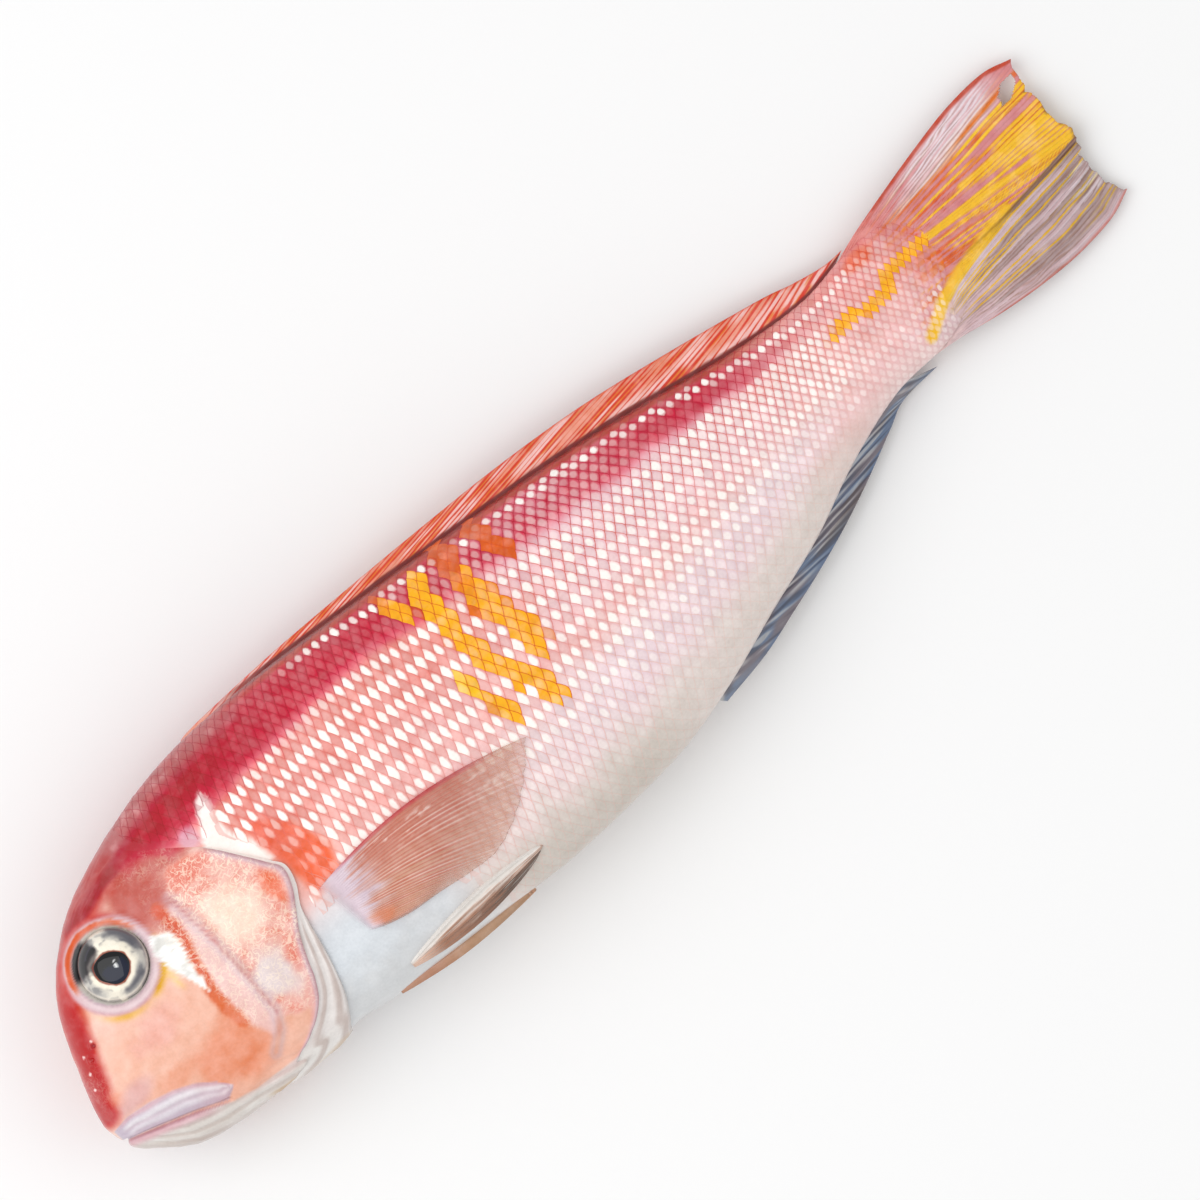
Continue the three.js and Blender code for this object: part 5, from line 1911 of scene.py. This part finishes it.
    def realize(self, cloud: Object, wardrobe: Wardrobe) -> Object:
        """Put a scale on each place with Geometry Nodes and keep the plain mesh.

        Args:
            cloud: The places, with their sizes and spots.
            wardrobe: The finishes.

        Returns:
            The mesh object.
        """
        template = self.template()
        tree = bpy.data.node_groups.new(f"ScaleRows_{self.side.name}", "GeometryNodeTree")
        g = Graph(tree)
        g.socket("Geometry", "Geometry")
        scale_socket = g.socket("Scale Object", "Object")
        material_socket = g.socket("Finish", "Material")
        overlap_socket = g.socket("Overlap", "Float")
        g.socket("Geometry", "Geometry", "OUTPUT")
        start = g.add("NodeGroupInput")
        end = g.add("NodeGroupOutput")
        shape = g.add("GeometryNodeObjectInfo")
        g.link(start.outputs["Scale Object"], shape.inputs["Object"])
        size = g.add("GeometryNodeInputNamedAttribute", data_type="FLOAT_VECTOR")
        size.inputs["Name"].default_value = "size"
        grow = g.add("ShaderNodeCombineXYZ")
        grow.inputs["X"].default_value = 1.0
        grow.inputs["Z"].default_value = 1.0
        g.link(start.outputs["Overlap"], grow.inputs["Y"])
        grown = g.add("ShaderNodeVectorMath", operation="MULTIPLY")
        g.link(size.outputs["Attribute"], grown.inputs[0])
        g.link(grow.outputs[0], grown.inputs[1])
        copies = g.add("GeometryNodeInstanceOnPoints")
        g.link(start.outputs["Geometry"], copies.inputs["Points"])
        g.link(shape.outputs["Geometry"], copies.inputs["Instance"])
        g.link(grown.outputs[0], copies.inputs["Scale"])
        real = g.add("GeometryNodeRealizeInstances")
        dress = g.add("GeometryNodeSetMaterial")
        g.link(copies.outputs[0], real.inputs[0])
        g.link(real.outputs[0], dress.inputs["Geometry"])
        g.link(start.outputs["Finish"], dress.inputs["Material"])
        g.link(dress.outputs[0], end.inputs[0])
        modifier = cloud.modifiers.new("Scales", "NODES")
        modifier.node_group = tree
        modifier[scale_socket.identifier] = template
        modifier[material_socket.identifier] = wardrobe.scales
        modifier[overlap_socket.identifier] = self.overlap
        depsgraph = bpy.context.evaluated_depsgraph_get()
        mesh = bpy.data.meshes.new_from_object(cloud.evaluated_get(depsgraph))
        mesh.name = f"scales_{self.side.name.lower()}"
        mesh.shade_smooth()
        made = bpy.data.objects.new(mesh.name, mesh)
        bpy.context.scene.collection.objects.link(made)
        bpy.data.objects.remove(cloud)
        bpy.data.objects.remove(template)
        return made


@dataclass
class FinSheet(Piece):
    """A thin fin with rays, laid out over a grid from its root to its edge."""

    name: str
    rays: int
    rows: int
    columns: int

    def grid(self) -> tuple[Array, Array]:
        """Return the shares from root to edge and across the rays, for all vertices of one face."""
        u, v = np.meshgrid(np.linspace(0, 1, self.rows), np.linspace(0, 1, self.columns), indexing="ij")
        return u.ravel(), v.ravel()

    def ridge(self, v: Array) -> Array:
        """Return 1 along the rays and 0 between them."""
        return waves(v * self.rays)

    def finish(self, outer: Array, inner: Array, paint: Paint, veil: Array,
               wardrobe: Wardrobe) -> Object:
        """Close the sheet and dress it.

        Args:
            outer: Points of the upper face in fish millimetres.
            inner: Points of the lower face.
            paint: Colours of the upper face.
            veil: How opaque the upper face is.
            wardrobe: The finishes.

        Returns:
            The mesh object.
        """
        points = np.concatenate([outer, inner])
        faces = outward(points, sheet_faces(self.rows, self.columns))
        made = new_object(self.name, FORM.to_frame(points, Layer.FIN), faces)
        set_colours(made, "paint", np.concatenate([paint.rgb, paint.rgb]))
        set_values(made, "veil", np.concatenate([veil, veil]))
        self.declare(made, wardrobe.fins, "fish_body", "skin")
        return made


@dataclass
class CaudalFin(FinSheet):
    """Tail fin, whose lower lobe has slipped behind the upper one."""

    upper: tuple = ((281, 18.6), (291, 21), (304, 23.2), (318, 25.2), (330, 26.4), (342, 26), (350, 23.3))
    lower: tuple = (
        (281, -14.2), (291, -16.2), (303, -19.4), (315, -21.7), (327, -23), (339, -22.6), (347, -20.3),
    )
    length: float = 67.0
    fold: float = 0.6
    root_half: float = 1.5
    edge_half: float = 0.42
    ragged: tuple = (
        (0.0, 0.0), (0.02, 0.9), (0.05, 1.8), (0.17, 2.4), (0.205, 4.4), (0.23, 2.6), (0.3, 2.5),
        (0.36, 3.4), (0.41, 2.9), (0.45, 3.0), (0.487, 1.2), (0.53, 0.3), (0.56, 1.3), (0.585, 1.0),
        (0.605, 2.6), (0.645, 2.4), (0.65, 5.0), (0.72, 4.4), (0.76, 5.4), (0.79, 4.4), (0.86, 4.6),
        (0.9, 2.9), (0.95, 2.3), (1.0, 0.0),
    )
    hole: tuple = ((340, 16.6), (343, 16.3), (347, 18.6), (347.4, 20.8), (343.5, 20.9), (340.6, 19))

    def build(self, wardrobe: Wardrobe) -> Object:
        """Build the tail fin.

        Args:
            wardrobe: The finishes.

        Returns:
            The mesh object.
        """
        u, v = self.grid()
        upper, lower = SmoothCurve(self.upper), SmoothCurve(self.lower)
        notch = read_line(self.ragged, v) / self.length
        fray = 0.010 * np.maximum(FIELD.fine.at(np.full_like(v, 3.3), v * 60), 0.0) * smooth(0.02, 0.1, v)
        reach = u * (1 - (notch + fray) * u**3)
        spot = lerp(upper.at(reach), lower.at(reach), v[:, None])
        x, y = spot[:, 0], spot[:, 1]
        behind = smooth(self.fold - 0.012, self.fold + 0.012, v)
        droop = 0.003 * u * (y - 2) ** 2
        wave = 0.35 * u * np.sin(5.5 * v * math.pi + 2.0 * u) * smooth(0, 0.5, u)
        height = FORM.spine_height(x) + u * lerp(0.5, -0.9, behind) - droop + wave
        paint = FIELD.trunk(x, y)
        trunk = paint.rgb.copy()
        ridge = FIELD.tail(paint, x, y, np.ones(len(x)))
        scaly = smooth(306, 298, x + 3.0 * FIELD.fine.at(x / 9, y / 0.8) + 8.0 * smooth(9, -13, y))
        paint.rgb = lerp(paint.rgb, trunk, scaly[:, None])
        half = lerp(self.root_half, self.edge_half, np.sqrt(u)) * (0.6 + 0.4 * ridge)
        outer = np.stack([x, y, height + half], axis=1)
        inner = np.stack([x, y, height - half], axis=1)
        veil = self.dress_edges(paint, u, v, x, y, ridge)
        return self.finish(outer, inner, paint, veil, wardrobe)

    def dress_edges(self, paint: Paint, u: Array, v: Array, x: Array, y: Array,
                    ridge: Array) -> Array:
        """Paint a shadow line along the fold and darken the torn edge.

        Args:
            paint: The colours to lay over.
            u: Shares from the root to the edge.
            v: Shares from the upper to the lower side.
            x: Distances from the snout.
            y: Levels.
            ridge: 1 along the rays.

        Returns:
            How opaque the fin is, from 0 to 1.
        """
        streak = FIELD.fine.at(u * 5, v * 70)
        lobe = smooth(self.fold - 0.005, self.fold + 0.005, v)
        # painted shadow along the fold, where the upper lobe lies over the lower
        fold_line = bump(v - self.fold + 0.003, 0.007) * smooth(0.25, 0.6, u)
        paint.lay("brown", 0.45 * fold_line + 0.5 * fold_line * smooth(0.7, 0.9, u))
        paint.lay("brown", 0.5 * smooth(0.972, 1.0, u) * smooth(-0.1, 0.5, streak) * smooth(0.1, 0.2, v))
        torn = smooth(0.76, 0.86, u) * smooth(0.665, 0.69, v) * smooth(0.87, 0.84, v)
        paint.lay("tail_white", 0.65 * torn * smooth(-0.2, 0.4, streak))
        paint.lay("brown", 0.45 * torn * smooth(0.3, -0.3, streak) * ridge)
        veil = 1.0 - 0.15 * smooth(0.3, 0.9, u) * (1 - ridge)
        veil -= 0.30 * lobe * smooth(0.25, 0.7, u) * (1 - 0.6 * ridge)
        veil -= 0.35 * torn * (1 - ridge) * smooth(-0.3, 0.3, streak)
        return np.clip(np.where(depth_inside(self.hole, x, y) > 0.0, 0.0, veil), 0, 1)


@dataclass
class MedianFin(FinSheet):
    """A fin along the back or belly, folded back so that its rays nearly follow the body."""

    start: float
    end: float
    margin: tuple
    sweep: float
    lean: float
    side: int
    sunk: float = 1.2
    root_half: float = 1.0
    edge_half: float = 0.35

    def build(self, wardrobe: Wardrobe) -> Object:
        """Build the fin.

        Args:
            wardrobe: The finishes.

        Returns:
            The mesh object.
        """
        u, v = self.grid()
        margin = SmoothCurve(self.margin)
        root = lerp(self.start, self.end, v)
        swept = root + 2 + self.sweep * np.sin(math.pi * np.clip(v, 0, 0.9)) ** 0.8
        last = lerp(swept, self.margin[-1][0], smooth(0.7, 1, v))
        tip = np.minimum(np.maximum(swept, self.margin[0][0]), last)
        back, belly = FORM.section(FORM.place_at(root))
        body_edge = back[:, 1] if self.side > 0 else belly[:, 1]
        ridge = self.ridge(v)
        x = lerp(root, tip, u)
        y = lerp(body_edge - self.side * self.sunk, margin.value_at(tip), u)
        half = lerp(self.root_half, self.edge_half, u) * (0.75 + 0.25 * ridge)
        height = FORM.spine_height(x) - self.lean * u
        outer = np.stack([x, y, height + half], axis=1)
        inner = np.stack([x, y, height - half], axis=1)
        near_back, near_belly = FORM.section(FORM.place_at(x))
        paint, veil = self.colours(u, v, x, y, near_back[:, 1] if self.side > 0 else near_belly[:, 1])
        return self.finish(outer, inner, paint, veil, wardrobe)

    def colours(self, u: Array, v: Array, x: Array, y: Array,
                body_edge: Array) -> tuple[Paint, Array]:
        """Return the fin's colours and how opaque it is.

        Args:
            u: Shares from the root to the edge.
            v: Shares from the first to the last ray.
            x: Distances from the snout.
            y: Levels.
            body_edge: Levels of the body's edge.

        Returns:
            The colours and the opacities.
        """
        over = np.abs(y - body_edge)
        wander = v + (0.004 if self.side > 0 else 0.016) * FIELD.coarse.at(u * 2, v * 30)
        strands = self.rays * (3.0 if self.side > 0 else 1.3)
        strand = waves(wander * strands)
        thick = FIELD.fine.at(u * 2.5, v * strands)
        broad = FIELD.coarse.at(u * 2.0, v * self.rays * 1.3)
        if self.side > 0:
            paint = Paint(len(u), "fin_pink")
            paint.lay("fin_salmon", 0.7 * smooth(-0.1, 0.4, broad))
            paint.lay("ray_orange", 0.95 * smooth(0.45, 0.8, strand + 0.55 * thick))
            paint.lay("tail_orange", 0.6 * smooth(0.1, 0.4, thick) * smooth(0.5, 0.2, strand))
            paint.lay("crimson", 0.45 * smooth(125, 90, x) * smooth(-0.3, 0.4, thick))
            paint.lay("ray_orange", 0.6 * smooth(0.93, 1.0, u))
            # painted shade: dark line in the groove at the fin's root
            paint.lay("groove", 0.9 * smooth(1.0, 0.4, over + 0.2 * thick) * smooth(90, 112, x))
            return paint, 1.0 - 0.15 * smooth(0.6, 1.0, u) * (1 - strand)
        paint = Paint(len(u), "slate")
        paint.lay("slate_blue", 0.75 * smooth(-0.2, 0.5, broad + 0.5 * (u - 0.5)))
        paint.lay("slate_pale", 0.7 * smooth(0.5, 1.1, strand + 0.6 * thick) * smooth(1.0, 0.6, u))
        paint.lay("slate_dark", 0.5 * smooth(0.5, 1.1, (1 - strand) + 0.5 * thick))
        paint.lay("fin_dark", 0.4 * smooth(0.1, 0.6, thick) * smooth(0.3, 0.6, u))
        return paint, np.full(len(u), 1.0)


@dataclass
class PectoralFin(FinSheet):
    """Fan behind the gill cover, lying flat on the flank."""

    side: Side
    root: tuple = ((78.5, 3.2), (80, -4.5), (81.5, -12.5))
    margin: tuple = ((143.5, -7.2), (138, -12.5), (129, -18.3), (119, -21.6), (110, -20.6), (100, -18.2))
    arch: float = 4.6
    sunk: float = 2.2

    def build(self, wardrobe: Wardrobe) -> Object:
        """Build the fin.

        Args:
            wardrobe: The finishes.

        Returns:
            The mesh object.
        """
        u, v = self.grid()
        ridge = waves(v * self.rays * 3)
        reach = u * (1 - 0.006 * (1 - self.ridge(v)))
        spot = lerp(SmoothCurve(self.root).at(v), SmoothCurve(self.margin).at(v), reach[:, None])
        x = spot[:, 0]
        y = spot[:, 1] + lerp(self.arch, -1.0, v) * np.sin(math.pi * np.clip(reach, 0, 1)) ** 0.9
        raised = (0.35 + 0.75 * smooth(0, 0.16, u) - 0.35 * u) * (0.75 + 0.25 * ridge * smooth(0.05, 0.2, u))
        place, angle = FORM.locate(x, y, self.side)
        outer = FORM.lifted(place, angle, raised)
        inner = FORM.lifted(place, angle, -self.sunk * (1 - 0.5 * u))
        paint, veil = self.colours(u, v, x, y, ridge)
        return self.finish(outer, inner, paint, veil, wardrobe)

    def colours(self, u: Array, v: Array, x: Array, y: Array,
                ridge: Array) -> tuple[Paint, Array]:
        """Return the fin's colours and how opaque it is.

        Args:
            u: Shares from the root to the edge.
            v: Shares from the first to the last ray.
            x: Distances from the snout.
            y: Levels.
            ridge: 1 along the rays.

        Returns:
            The colours and the opacities.
        """
        thick = FIELD.fine.at(u * 3, v * self.rays * 3)
        rough = FIELD.rough(x, y, 5.0)
        paint = Paint(len(u), "fin_lilac")
        body = smooth(0.14, 0.36, u + 0.12 * rough + 0.08 * thick + 0.06 * v)
        paint.lay("fin_tan", 0.9 * body)
        paint.lay("fin_red", body * 0.85 * smooth(0.35, 0.9, ridge + 0.4 * thick) * smooth(1.0, 0.6, u))
        paint.lay("fin_red", 0.55 * body * smooth(0.55, 0.1, v + 0.1 * rough) * smooth(0.95, 0.6, u))
        paint.lay("fin_pale", 0.85 * body * smooth(0.6, 0.15, ridge) * smooth(-0.1, 0.4, thick))
        paint.lay("fin_tan", 0.5 * body * smooth(0.6, 0.95, v + 0.1 * rough))
        flecks = FIELD.fine.at(u * 34, v * self.rays * 3)
        paint.lay("pearl", 0.55 * body * smooth(0.35, 0.7, flecks) * smooth(0.35, 0.1, v)
                  * smooth(0.05, 0.12, v))
        paint.lay("cheek_orange", 0.45 * smooth(1.2, 0.4, oval(u, v, (0.22, 0.86), (0.14, 0.14))))
        paint.lay("crimson", 0.55 * smooth(0.045, 0.01, v) * smooth(0.08, 0.2, u) * smooth(0.95, 0.7, u))
        veil = 1.0 - smooth(0.4, 1.0, u) * lerp(0.70, 0.35, ridge)
        veil *= smooth(0.0, 0.10, u) * lerp(1.0, 0.45, smooth(0.93, 1.0, v))
        veil *= lerp(1.0, 0.6, smooth(0.93, 1.0, u))
        return paint, np.clip(veil, 0, 1)


@dataclass
class PelvicFin(FinSheet):
    """Folded bundle of rays along the belly."""

    start: float
    end: float
    root: float
    tip: float
    raised: float
    width: float
    sunk: float = 1.6

    def build(self, wardrobe: Wardrobe) -> Object:
        """Build the fin.

        Args:
            wardrobe: The finishes.

        Returns:
            The mesh object.
        """
        u, v = self.grid()
        side = 1 if self.root < BELLY_ANGLE else -1
        ridge = self.ridge(v)
        swell = np.sin(math.pi * np.clip(0.04 + 0.9 * u, 0, 1)) ** 0.7
        x = lerp(self.start, self.end, u) - 4 * np.abs(v - 0.35) * u
        place, _ = FORM.locate(x, np.full_like(x, 10.0), Side.LEFT)
        middle = np.radians(lerp(self.root, self.tip, u))
        step = np.linalg.norm(FORM.skin(place, middle + 0.05) - FORM.skin(place, middle - 0.05), axis=1) / 0.1
        angle = middle + side * (v - 0.5) * self.width * swell / step
        outer = FORM.lifted(place, angle, self.raised * swell * (0.6 + 0.4 * ridge))
        inner = FORM.lifted(place, angle, np.full_like(u, -self.sunk))
        paint, veil = self.colours(u, v, ridge)
        return self.finish(outer, inner, paint, veil, wardrobe)

    def colours(self, u: Array, v: Array, ridge: Array) -> tuple[Paint, Array]:
        """Return the fin's colours and how opaque it is.

        Args:
            u: Shares from the root to the tip.
            v: Shares from the upper to the lower ray.
            ridge: 1 along the rays.

        Returns:
            The colours and the opacities.
        """
        streak = FIELD.fine.at(u * 6, v * 30)
        paint = Paint(len(u), "fin_white")
        paint.lay("fin_tan", 0.8 * smooth(0.12, 0.4, v + 0.25 * streak) * (0.4 + 0.6 * ridge))
        paint.lay("tail_brown", 0.75 * smooth(0.2, 0.5, v + 0.3 * streak) * smooth(0.05, 0.25, u))
        paint.lay("brown", 0.35 * smooth(0.35, 0.7, v + 0.3 * streak) * smooth(0.25, 0.5, u))
        paint.lay("fin_dark", 0.85 * smooth(0.42, 0.75, u + 0.15 * streak)
                  * smooth(0.35, 0.7, v + 0.3 * streak))
        paint.lay("fin_white", 0.6 * smooth(0.2, 0.5, streak) * smooth(0.3, 0.6, u))
        if self.root > BELLY_ANGLE:
            paint.lay("fin_tan", np.full(len(u), 0.8))
            paint.lay("right_gill", 0.5 * ridge * smooth(0.2, 0.6, u))
        return paint, np.full(len(u), 1.0)


@dataclass
class Eye(Piece):
    """Glossy dome with its iris painted on, painted reflections and highlights included, and a raised pupil.
    """

    side: Side
    x: float = 30.8
    y: float = 27.6
    radius: float = 9.4
    depth: float = 5.2
    sink: float = 1.3
    around: int = 128
    rows: int = 72
    pupil_rise: float = 0.22
    iris: tuple = (31.1, 27.9)
    pupil_outline: tuple = (
        (26.2, 28.6), (27.1, 30.3), (29.0, 31.0), (31.4, 30.9), (33.6, 29.6), (35.0, 27.4), (34.6, 25.0),
        (32.6, 23.2), (30.2, 22.6), (28.2, 23.4), (26.8, 25.4), (26.1, 27.0),
    )

    def frame(self) -> tuple[Array, Array]:
        """Return the eye's centre and a matrix whose columns are its own axes.

        Returns:
            The centre in fish millimetres, and the matrix.
        """
        place, angle = FORM.locate(np.array([self.x]), np.array([self.y]), self.side)
        out = FORM.normal(place, angle)[0]
        turn = Vector((0, 0, 1)).rotation_difference(Vector(out.tolist())).to_matrix()
        return FORM.skin(place, angle)[0] - out * self.sink, np.array(turn)

    def dome(self, share: Array, around: Array) -> Array:
        """Return points of the flattened ball.

        Args:
            share: Shares of the way from its top, 0, to its bottom, 1.
            around: Turns about its own axis.

        Returns:
            Points in fish millimetres.
        """
        centre, axes = self.frame()
        polar = math.pi * share
        wide = self.radius * np.sin(polar)
        high = self.depth * np.cos(polar)
        return centre + np.stack([wide * np.cos(around), wide * np.sin(around), high], axis=-1) @ axes.T

    def colours(self, x: Array, y: Array) -> Paint:
        """Return the iris's colours, with painted reflections and highlights.

        Args:
            x: Distances from the snout.
            y: Levels.

        Returns:
            The colours.
        """
        dx, dy = x - self.iris[0], y - self.iris[1]
        away = np.hypot(dx, dy)
        turn = np.degrees(np.arctan2(dy, dx)) + 9.0 * FIELD.rough(x + 7, y, 1.6)
        spot = FIELD.rough(x + 7, y, 1.8)
        ringed = FIELD.fine.at(turn / 12 + 20, away * 0.9)
        hole = -depth_inside(self.pupil_outline, x, y)
        # silver ground and gold ring round the pupil are the iris's own colours; bright crescents are painted
        # highlights, the darker arcs and the dark upper-left patch painted reflections
        paint = Paint(len(x), "iris_silver")
        paint.lay("iris_gold", 0.85 * smooth(7.4, 5.2, away + 0.6 * ringed))
        paint.lay("iris_gold", 0.8 * smooth(-160, -130, turn) * smooth(-95, -120, turn))
        paint.lay("iris_gold", 0.6 * smooth(60, 72, turn) * smooth(98, 84, turn))
        right = smooth(70, 48, turn) * smooth(-24, 0, turn)
        paint.lay("iris_shade", 0.9 * right * smooth(5.4, 7.4, away + 0.5 * ringed))
        paint.lay("iris_dark", 0.6 * right * bump(away - 8.3, 0.45) * smooth(-0.2, 0.3, ringed))
        low = smooth(-122, -104, turn) * smooth(-40, -62, turn)
        paint.lay("iris_shade", 0.85 * low * bump(away - 7.5 - 0.4 * ringed, 1.2))
        paint.lay("iris_shade", 0.45 * smooth(0.0, 0.5, ringed) * smooth(4.5, 6.0, away))
        dark = smooth(86, 100, turn) * smooth(176, 158, turn)
        paint.lay("iris_dark", 0.97 * dark * smooth(3.6, 4.6, away))
        paint.lay("iris_shade", 0.6 * dark * bump(away - 6.6, 0.35) * smooth(0.1, 0.5, ringed))
        paint.lay("iris_gold", 0.95 * bump(hole - 1.05 + 0.25 * spot, 0.75) * (1.0 - 0.6 * dark))
        paint.lay("iris_ring", 0.85 * smooth(0.62, 0.25, hole + 0.15 * spot))
        paint.lay("iris_gold", 0.6 * bump(away - 9.0, 0.3) * (1.0 - 0.8 * dark))
        return paint

    def build(self, wardrobe: Wardrobe) -> list:
        """Build the dome and the pupil.

        Args:
            wardrobe: The finishes.

        Returns:
            The mesh objects.
        """
        label = self.side.name.lower()
        around = 2 * math.pi * np.arange(self.around) / self.around
        shares = np.concatenate([np.linspace(0.0, 0.5, self.rows)[1:], np.linspace(0.5, 1.0, 12)[1:-1]])
        rings = [self.dome(np.full(self.around, share), around) for share in shares]
        ends = [self.dome(np.array([share]), np.array([0.0])) for share in (0.0, 1.0)]
        points = np.concatenate([ends[0], *rings, ends[1]])
        faces = outward(points, tube_faces(len(rings), self.around))
        ball = new_object(f"eye_{label}_dome", FORM.to_frame(points, Layer.SKIN), faces)
        paint = self.colours(points[:, 0], points[:, 1])
        set_colours(ball, "paint", paint.rgb)
        self.declare(ball, wardrobe.eye, f"eye_{label}", "eye")
        return [ball, self.pupil(label, wardrobe)]

    def pupil(self, label: str, wardrobe: Wardrobe) -> Object:
        """Build the pupil, a low lens over the dome, with a painted reflection in its lower half and a
        painted highlight.

        Args:
            label: The flank's name.
            wardrobe: The finishes.

        Returns:
            The mesh object.
        """
        centre, axes = self.frame()
        corners = np.array(self.pupil_outline, dtype=float)
        outline = SmoothCurve(tuple(map(tuple, np.vstack([corners, corners[:1]])))).samples(73)[:-1]
        heart = outline.mean(axis=0)
        shares = (0.15, 0.3, 0.45, 0.6, 0.75, 0.87, 0.95, 1.0)
        rings = [lerp(heart, outline, share) for share in (*shares, 1.02, 0.6)]
        rises = [self.pupil_rise * math.sqrt(1 - share**4) for share in shares] + [-0.15, -0.3]
        flat = np.concatenate([heart[None, :], *rings, heart[None, :]])
        rise = np.concatenate([[self.pupil_rise], np.repeat(rises, len(outline)), [-0.35]])
        points = self.over_dome(flat - centre[:2], rise, centre, axes)
        faces = outward(points, tube_faces(len(rings), len(outline)))
        made = new_object(f"pupil_{label}", FORM.to_frame(points, Layer.SKIN), faces)
        paint = Paint(len(points), "pupil")
        x, y = points[:, 0], points[:, 1]
        # painted reflection: lighter slate blue below a wavy horizon
        horizon = 27.6 + 0.5 * np.sin((x - 27) * 0.9)
        low = smooth(0.5, -0.3, y - horizon) * smooth(4.6, 3.2, np.hypot(x - 30.8, y - 26.2))
        paint.lay("pupil_blue", 0.8 * low)
        # painted highlight: a thin pale curve
        away, _ = distance_to(((31.3, 26.4), (31.7, 27.3), (32.0, 28.1), (31.7, 28.6)), x, y)
        paint.lay("silver", 0.9 * smooth(0.28, 0.1, away))
        set_colours(made, "paint", paint.rgb)
        self.declare(made, wardrobe.pupil, f"eye_{label}", "eye")
        return made

    def over_dome(self, flat: Array, rise: Array, centre: Array, axes: Array) -> Array:
        """Return points over the dome that look from above as a flat outline does.

        Args:
            flat: Offsets of the points from the eye's centre in the fish's plane.
            rise: Heights over the dome.
            centre: The ball's centre.
            axes: The ball's axes as columns.

        Returns:
            Points in fish millimetres.
        """
        height = np.full(len(flat), self.depth * self.side.value * 0.9)
        for _ in range(8):
            offset = np.column_stack([flat, height])
            local = offset @ axes
            wide = np.clip((local[:, 0] ** 2 + local[:, 1] ** 2) / self.radius**2, 0, 0.98)
            wanted = self.depth * np.sqrt(1 - wide) + rise
            height += (wanted - local[:, 2]) / axes[2, 2]
        return centre + np.column_stack([flat, height])


@dataclass
class Studio:
    """Pale floor, soft light and the camera over the fish."""

    floor_size: float = 4.0
    centre_x: float = 0.00593
    centre_y: float = -0.00497
    turn: float = 46.0
    height: float = 9.0
    view_width: float = 0.300
    focus_height: float = 0.021
    sensor: float = 36.0
    window: tuple = (-0.75, 0.35, 1.1)
    fill: tuple = (0.9, -0.6, 1.3)
    light_size: float = 1.3
    light_power: float = 8.2
    fill_share: float = 0.25
    sky: float = 0.74
    floor_shade: float = 0.93

    def build(self) -> None:
        """Set the stage."""
        scene = bpy.context.scene
        scene.view_settings.view_transform = "Standard"
        half = self.floor_size / 2
        corners = np.array([(-half, -half, 0), (half, -half, 0), (half, half, 0), (-half, half, 0)])
        floor = new_object("floor", corners, [[0, 1, 2, 3]], smooth_shading=False)
        pale = bpy.data.materials.new("PaleFloor")
        pale.use_nodes = True
        shader = pale.node_tree.nodes["Principled BSDF"]
        shader.inputs["Base Color"].default_value = (*(self.floor_shade,) * 3, 1.0)
        shader.inputs["Roughness"].default_value = 0.9
        floor.data.materials.append(pale)
        world = bpy.data.worlds.new("SoftStudio")
        world.use_nodes = True
        background = world.node_tree.nodes["Background"]
        background.inputs["Color"].default_value = (1.0, 1.0, 1.0, 1.0)
        background.inputs["Strength"].default_value = self.sky
        scene.world = world
        self.lamp("window", self.window, self.light_power, self.light_size)
        self.lamp("fill", self.fill, self.light_power * self.fill_share, self.light_size)
        camera = bpy.data.cameras.new("camera")
        camera.sensor_width = self.sensor
        camera.lens = self.sensor * self.height / self.view_width
        camera.clip_start = 0.05
        made = bpy.data.objects.new("camera", camera)
        made.location = (self.centre_x, self.centre_y, self.focus_height + self.height)
        made.rotation_euler = (0.0, 0.0, -math.radians(self.turn))
        scene.collection.objects.link(made)
        scene.camera = made

    def lamp(self, name: str, spot: tuple, power: float, size: float) -> None:
        """Hang a square lamp that looks at the fish.

        Args:
            name: The lamp's name.
            spot: Its place in metres.
            power: Its power in watts.
            size: Its side in metres.
        """
        light = bpy.data.lights.new(name, "AREA")
        light.energy = power
        light.size = size
        made = bpy.data.objects.new(name, light)
        made.location = spot
        made.rotation_euler = (-Vector(spot)).to_track_quat("-Z", "Y").to_euler()
        bpy.context.scene.collection.objects.link(made)


def main() -> None:
    """Build the fish piece by piece and set the studio."""
    logging.basicConfig(level=logging.INFO, format="%(name)s: %(message)s")
    wardrobe = Wardrobe()
    HeadSkin().build(wardrobe)
    TrunkSkin().build(wardrobe)
    for side in Side:
        ScaleCoat(side=side).build(wardrobe)
        PectoralFin("pectoral_" + side.name.lower(), rays=11, rows=70, columns=133, side=side).build(wardrobe)
        Eye(side=side).build(wardrobe)
    CaudalFin("caudal_fin", rays=15, rows=90, columns=241).build(wardrobe)
    MedianFin("dorsal_fin", rays=18, rows=24, columns=361, start=81, end=279, sweep=31, lean=2.4, side=1,
              margin=((81.5, 54.0), (88, 54.45), (112.5, 53.1), (136, 50.9), (162.5, 48.0), (187.5, 44.8),
                      (212.5, 40.3), (237.5, 33.9), (262.5, 26.7), (271, 23.6), (280, 21.0),
                      (286, 20.5))).build(wardrobe)
    MedianFin("anal_fin", rays=14, rows=24, columns=281, start=183, end=272, sweep=20, lean=6.0, side=-1,
              margin=((185, -37.4), (200, -36.2), (212.5, -33.8), (225, -31.2), (237.5, -28.0), (250, -24.0),
                      (262.5, -19.4), (270, -16.8), (283, -17.0))).build(wardrobe)
    PelvicFin("pelvic_left", rays=4, rows=60, columns=41, start=83, end=127, root=156, tip=146,
              raised=1.4, width=7.4).build(wardrobe)
    PelvicFin("pelvic_right", rays=4, rows=60, columns=41, start=76, end=118, root=186, tip=183,
              raised=2.2, width=5.6).build(wardrobe)
    Studio().build()


if __name__ == "__main__":
    main()
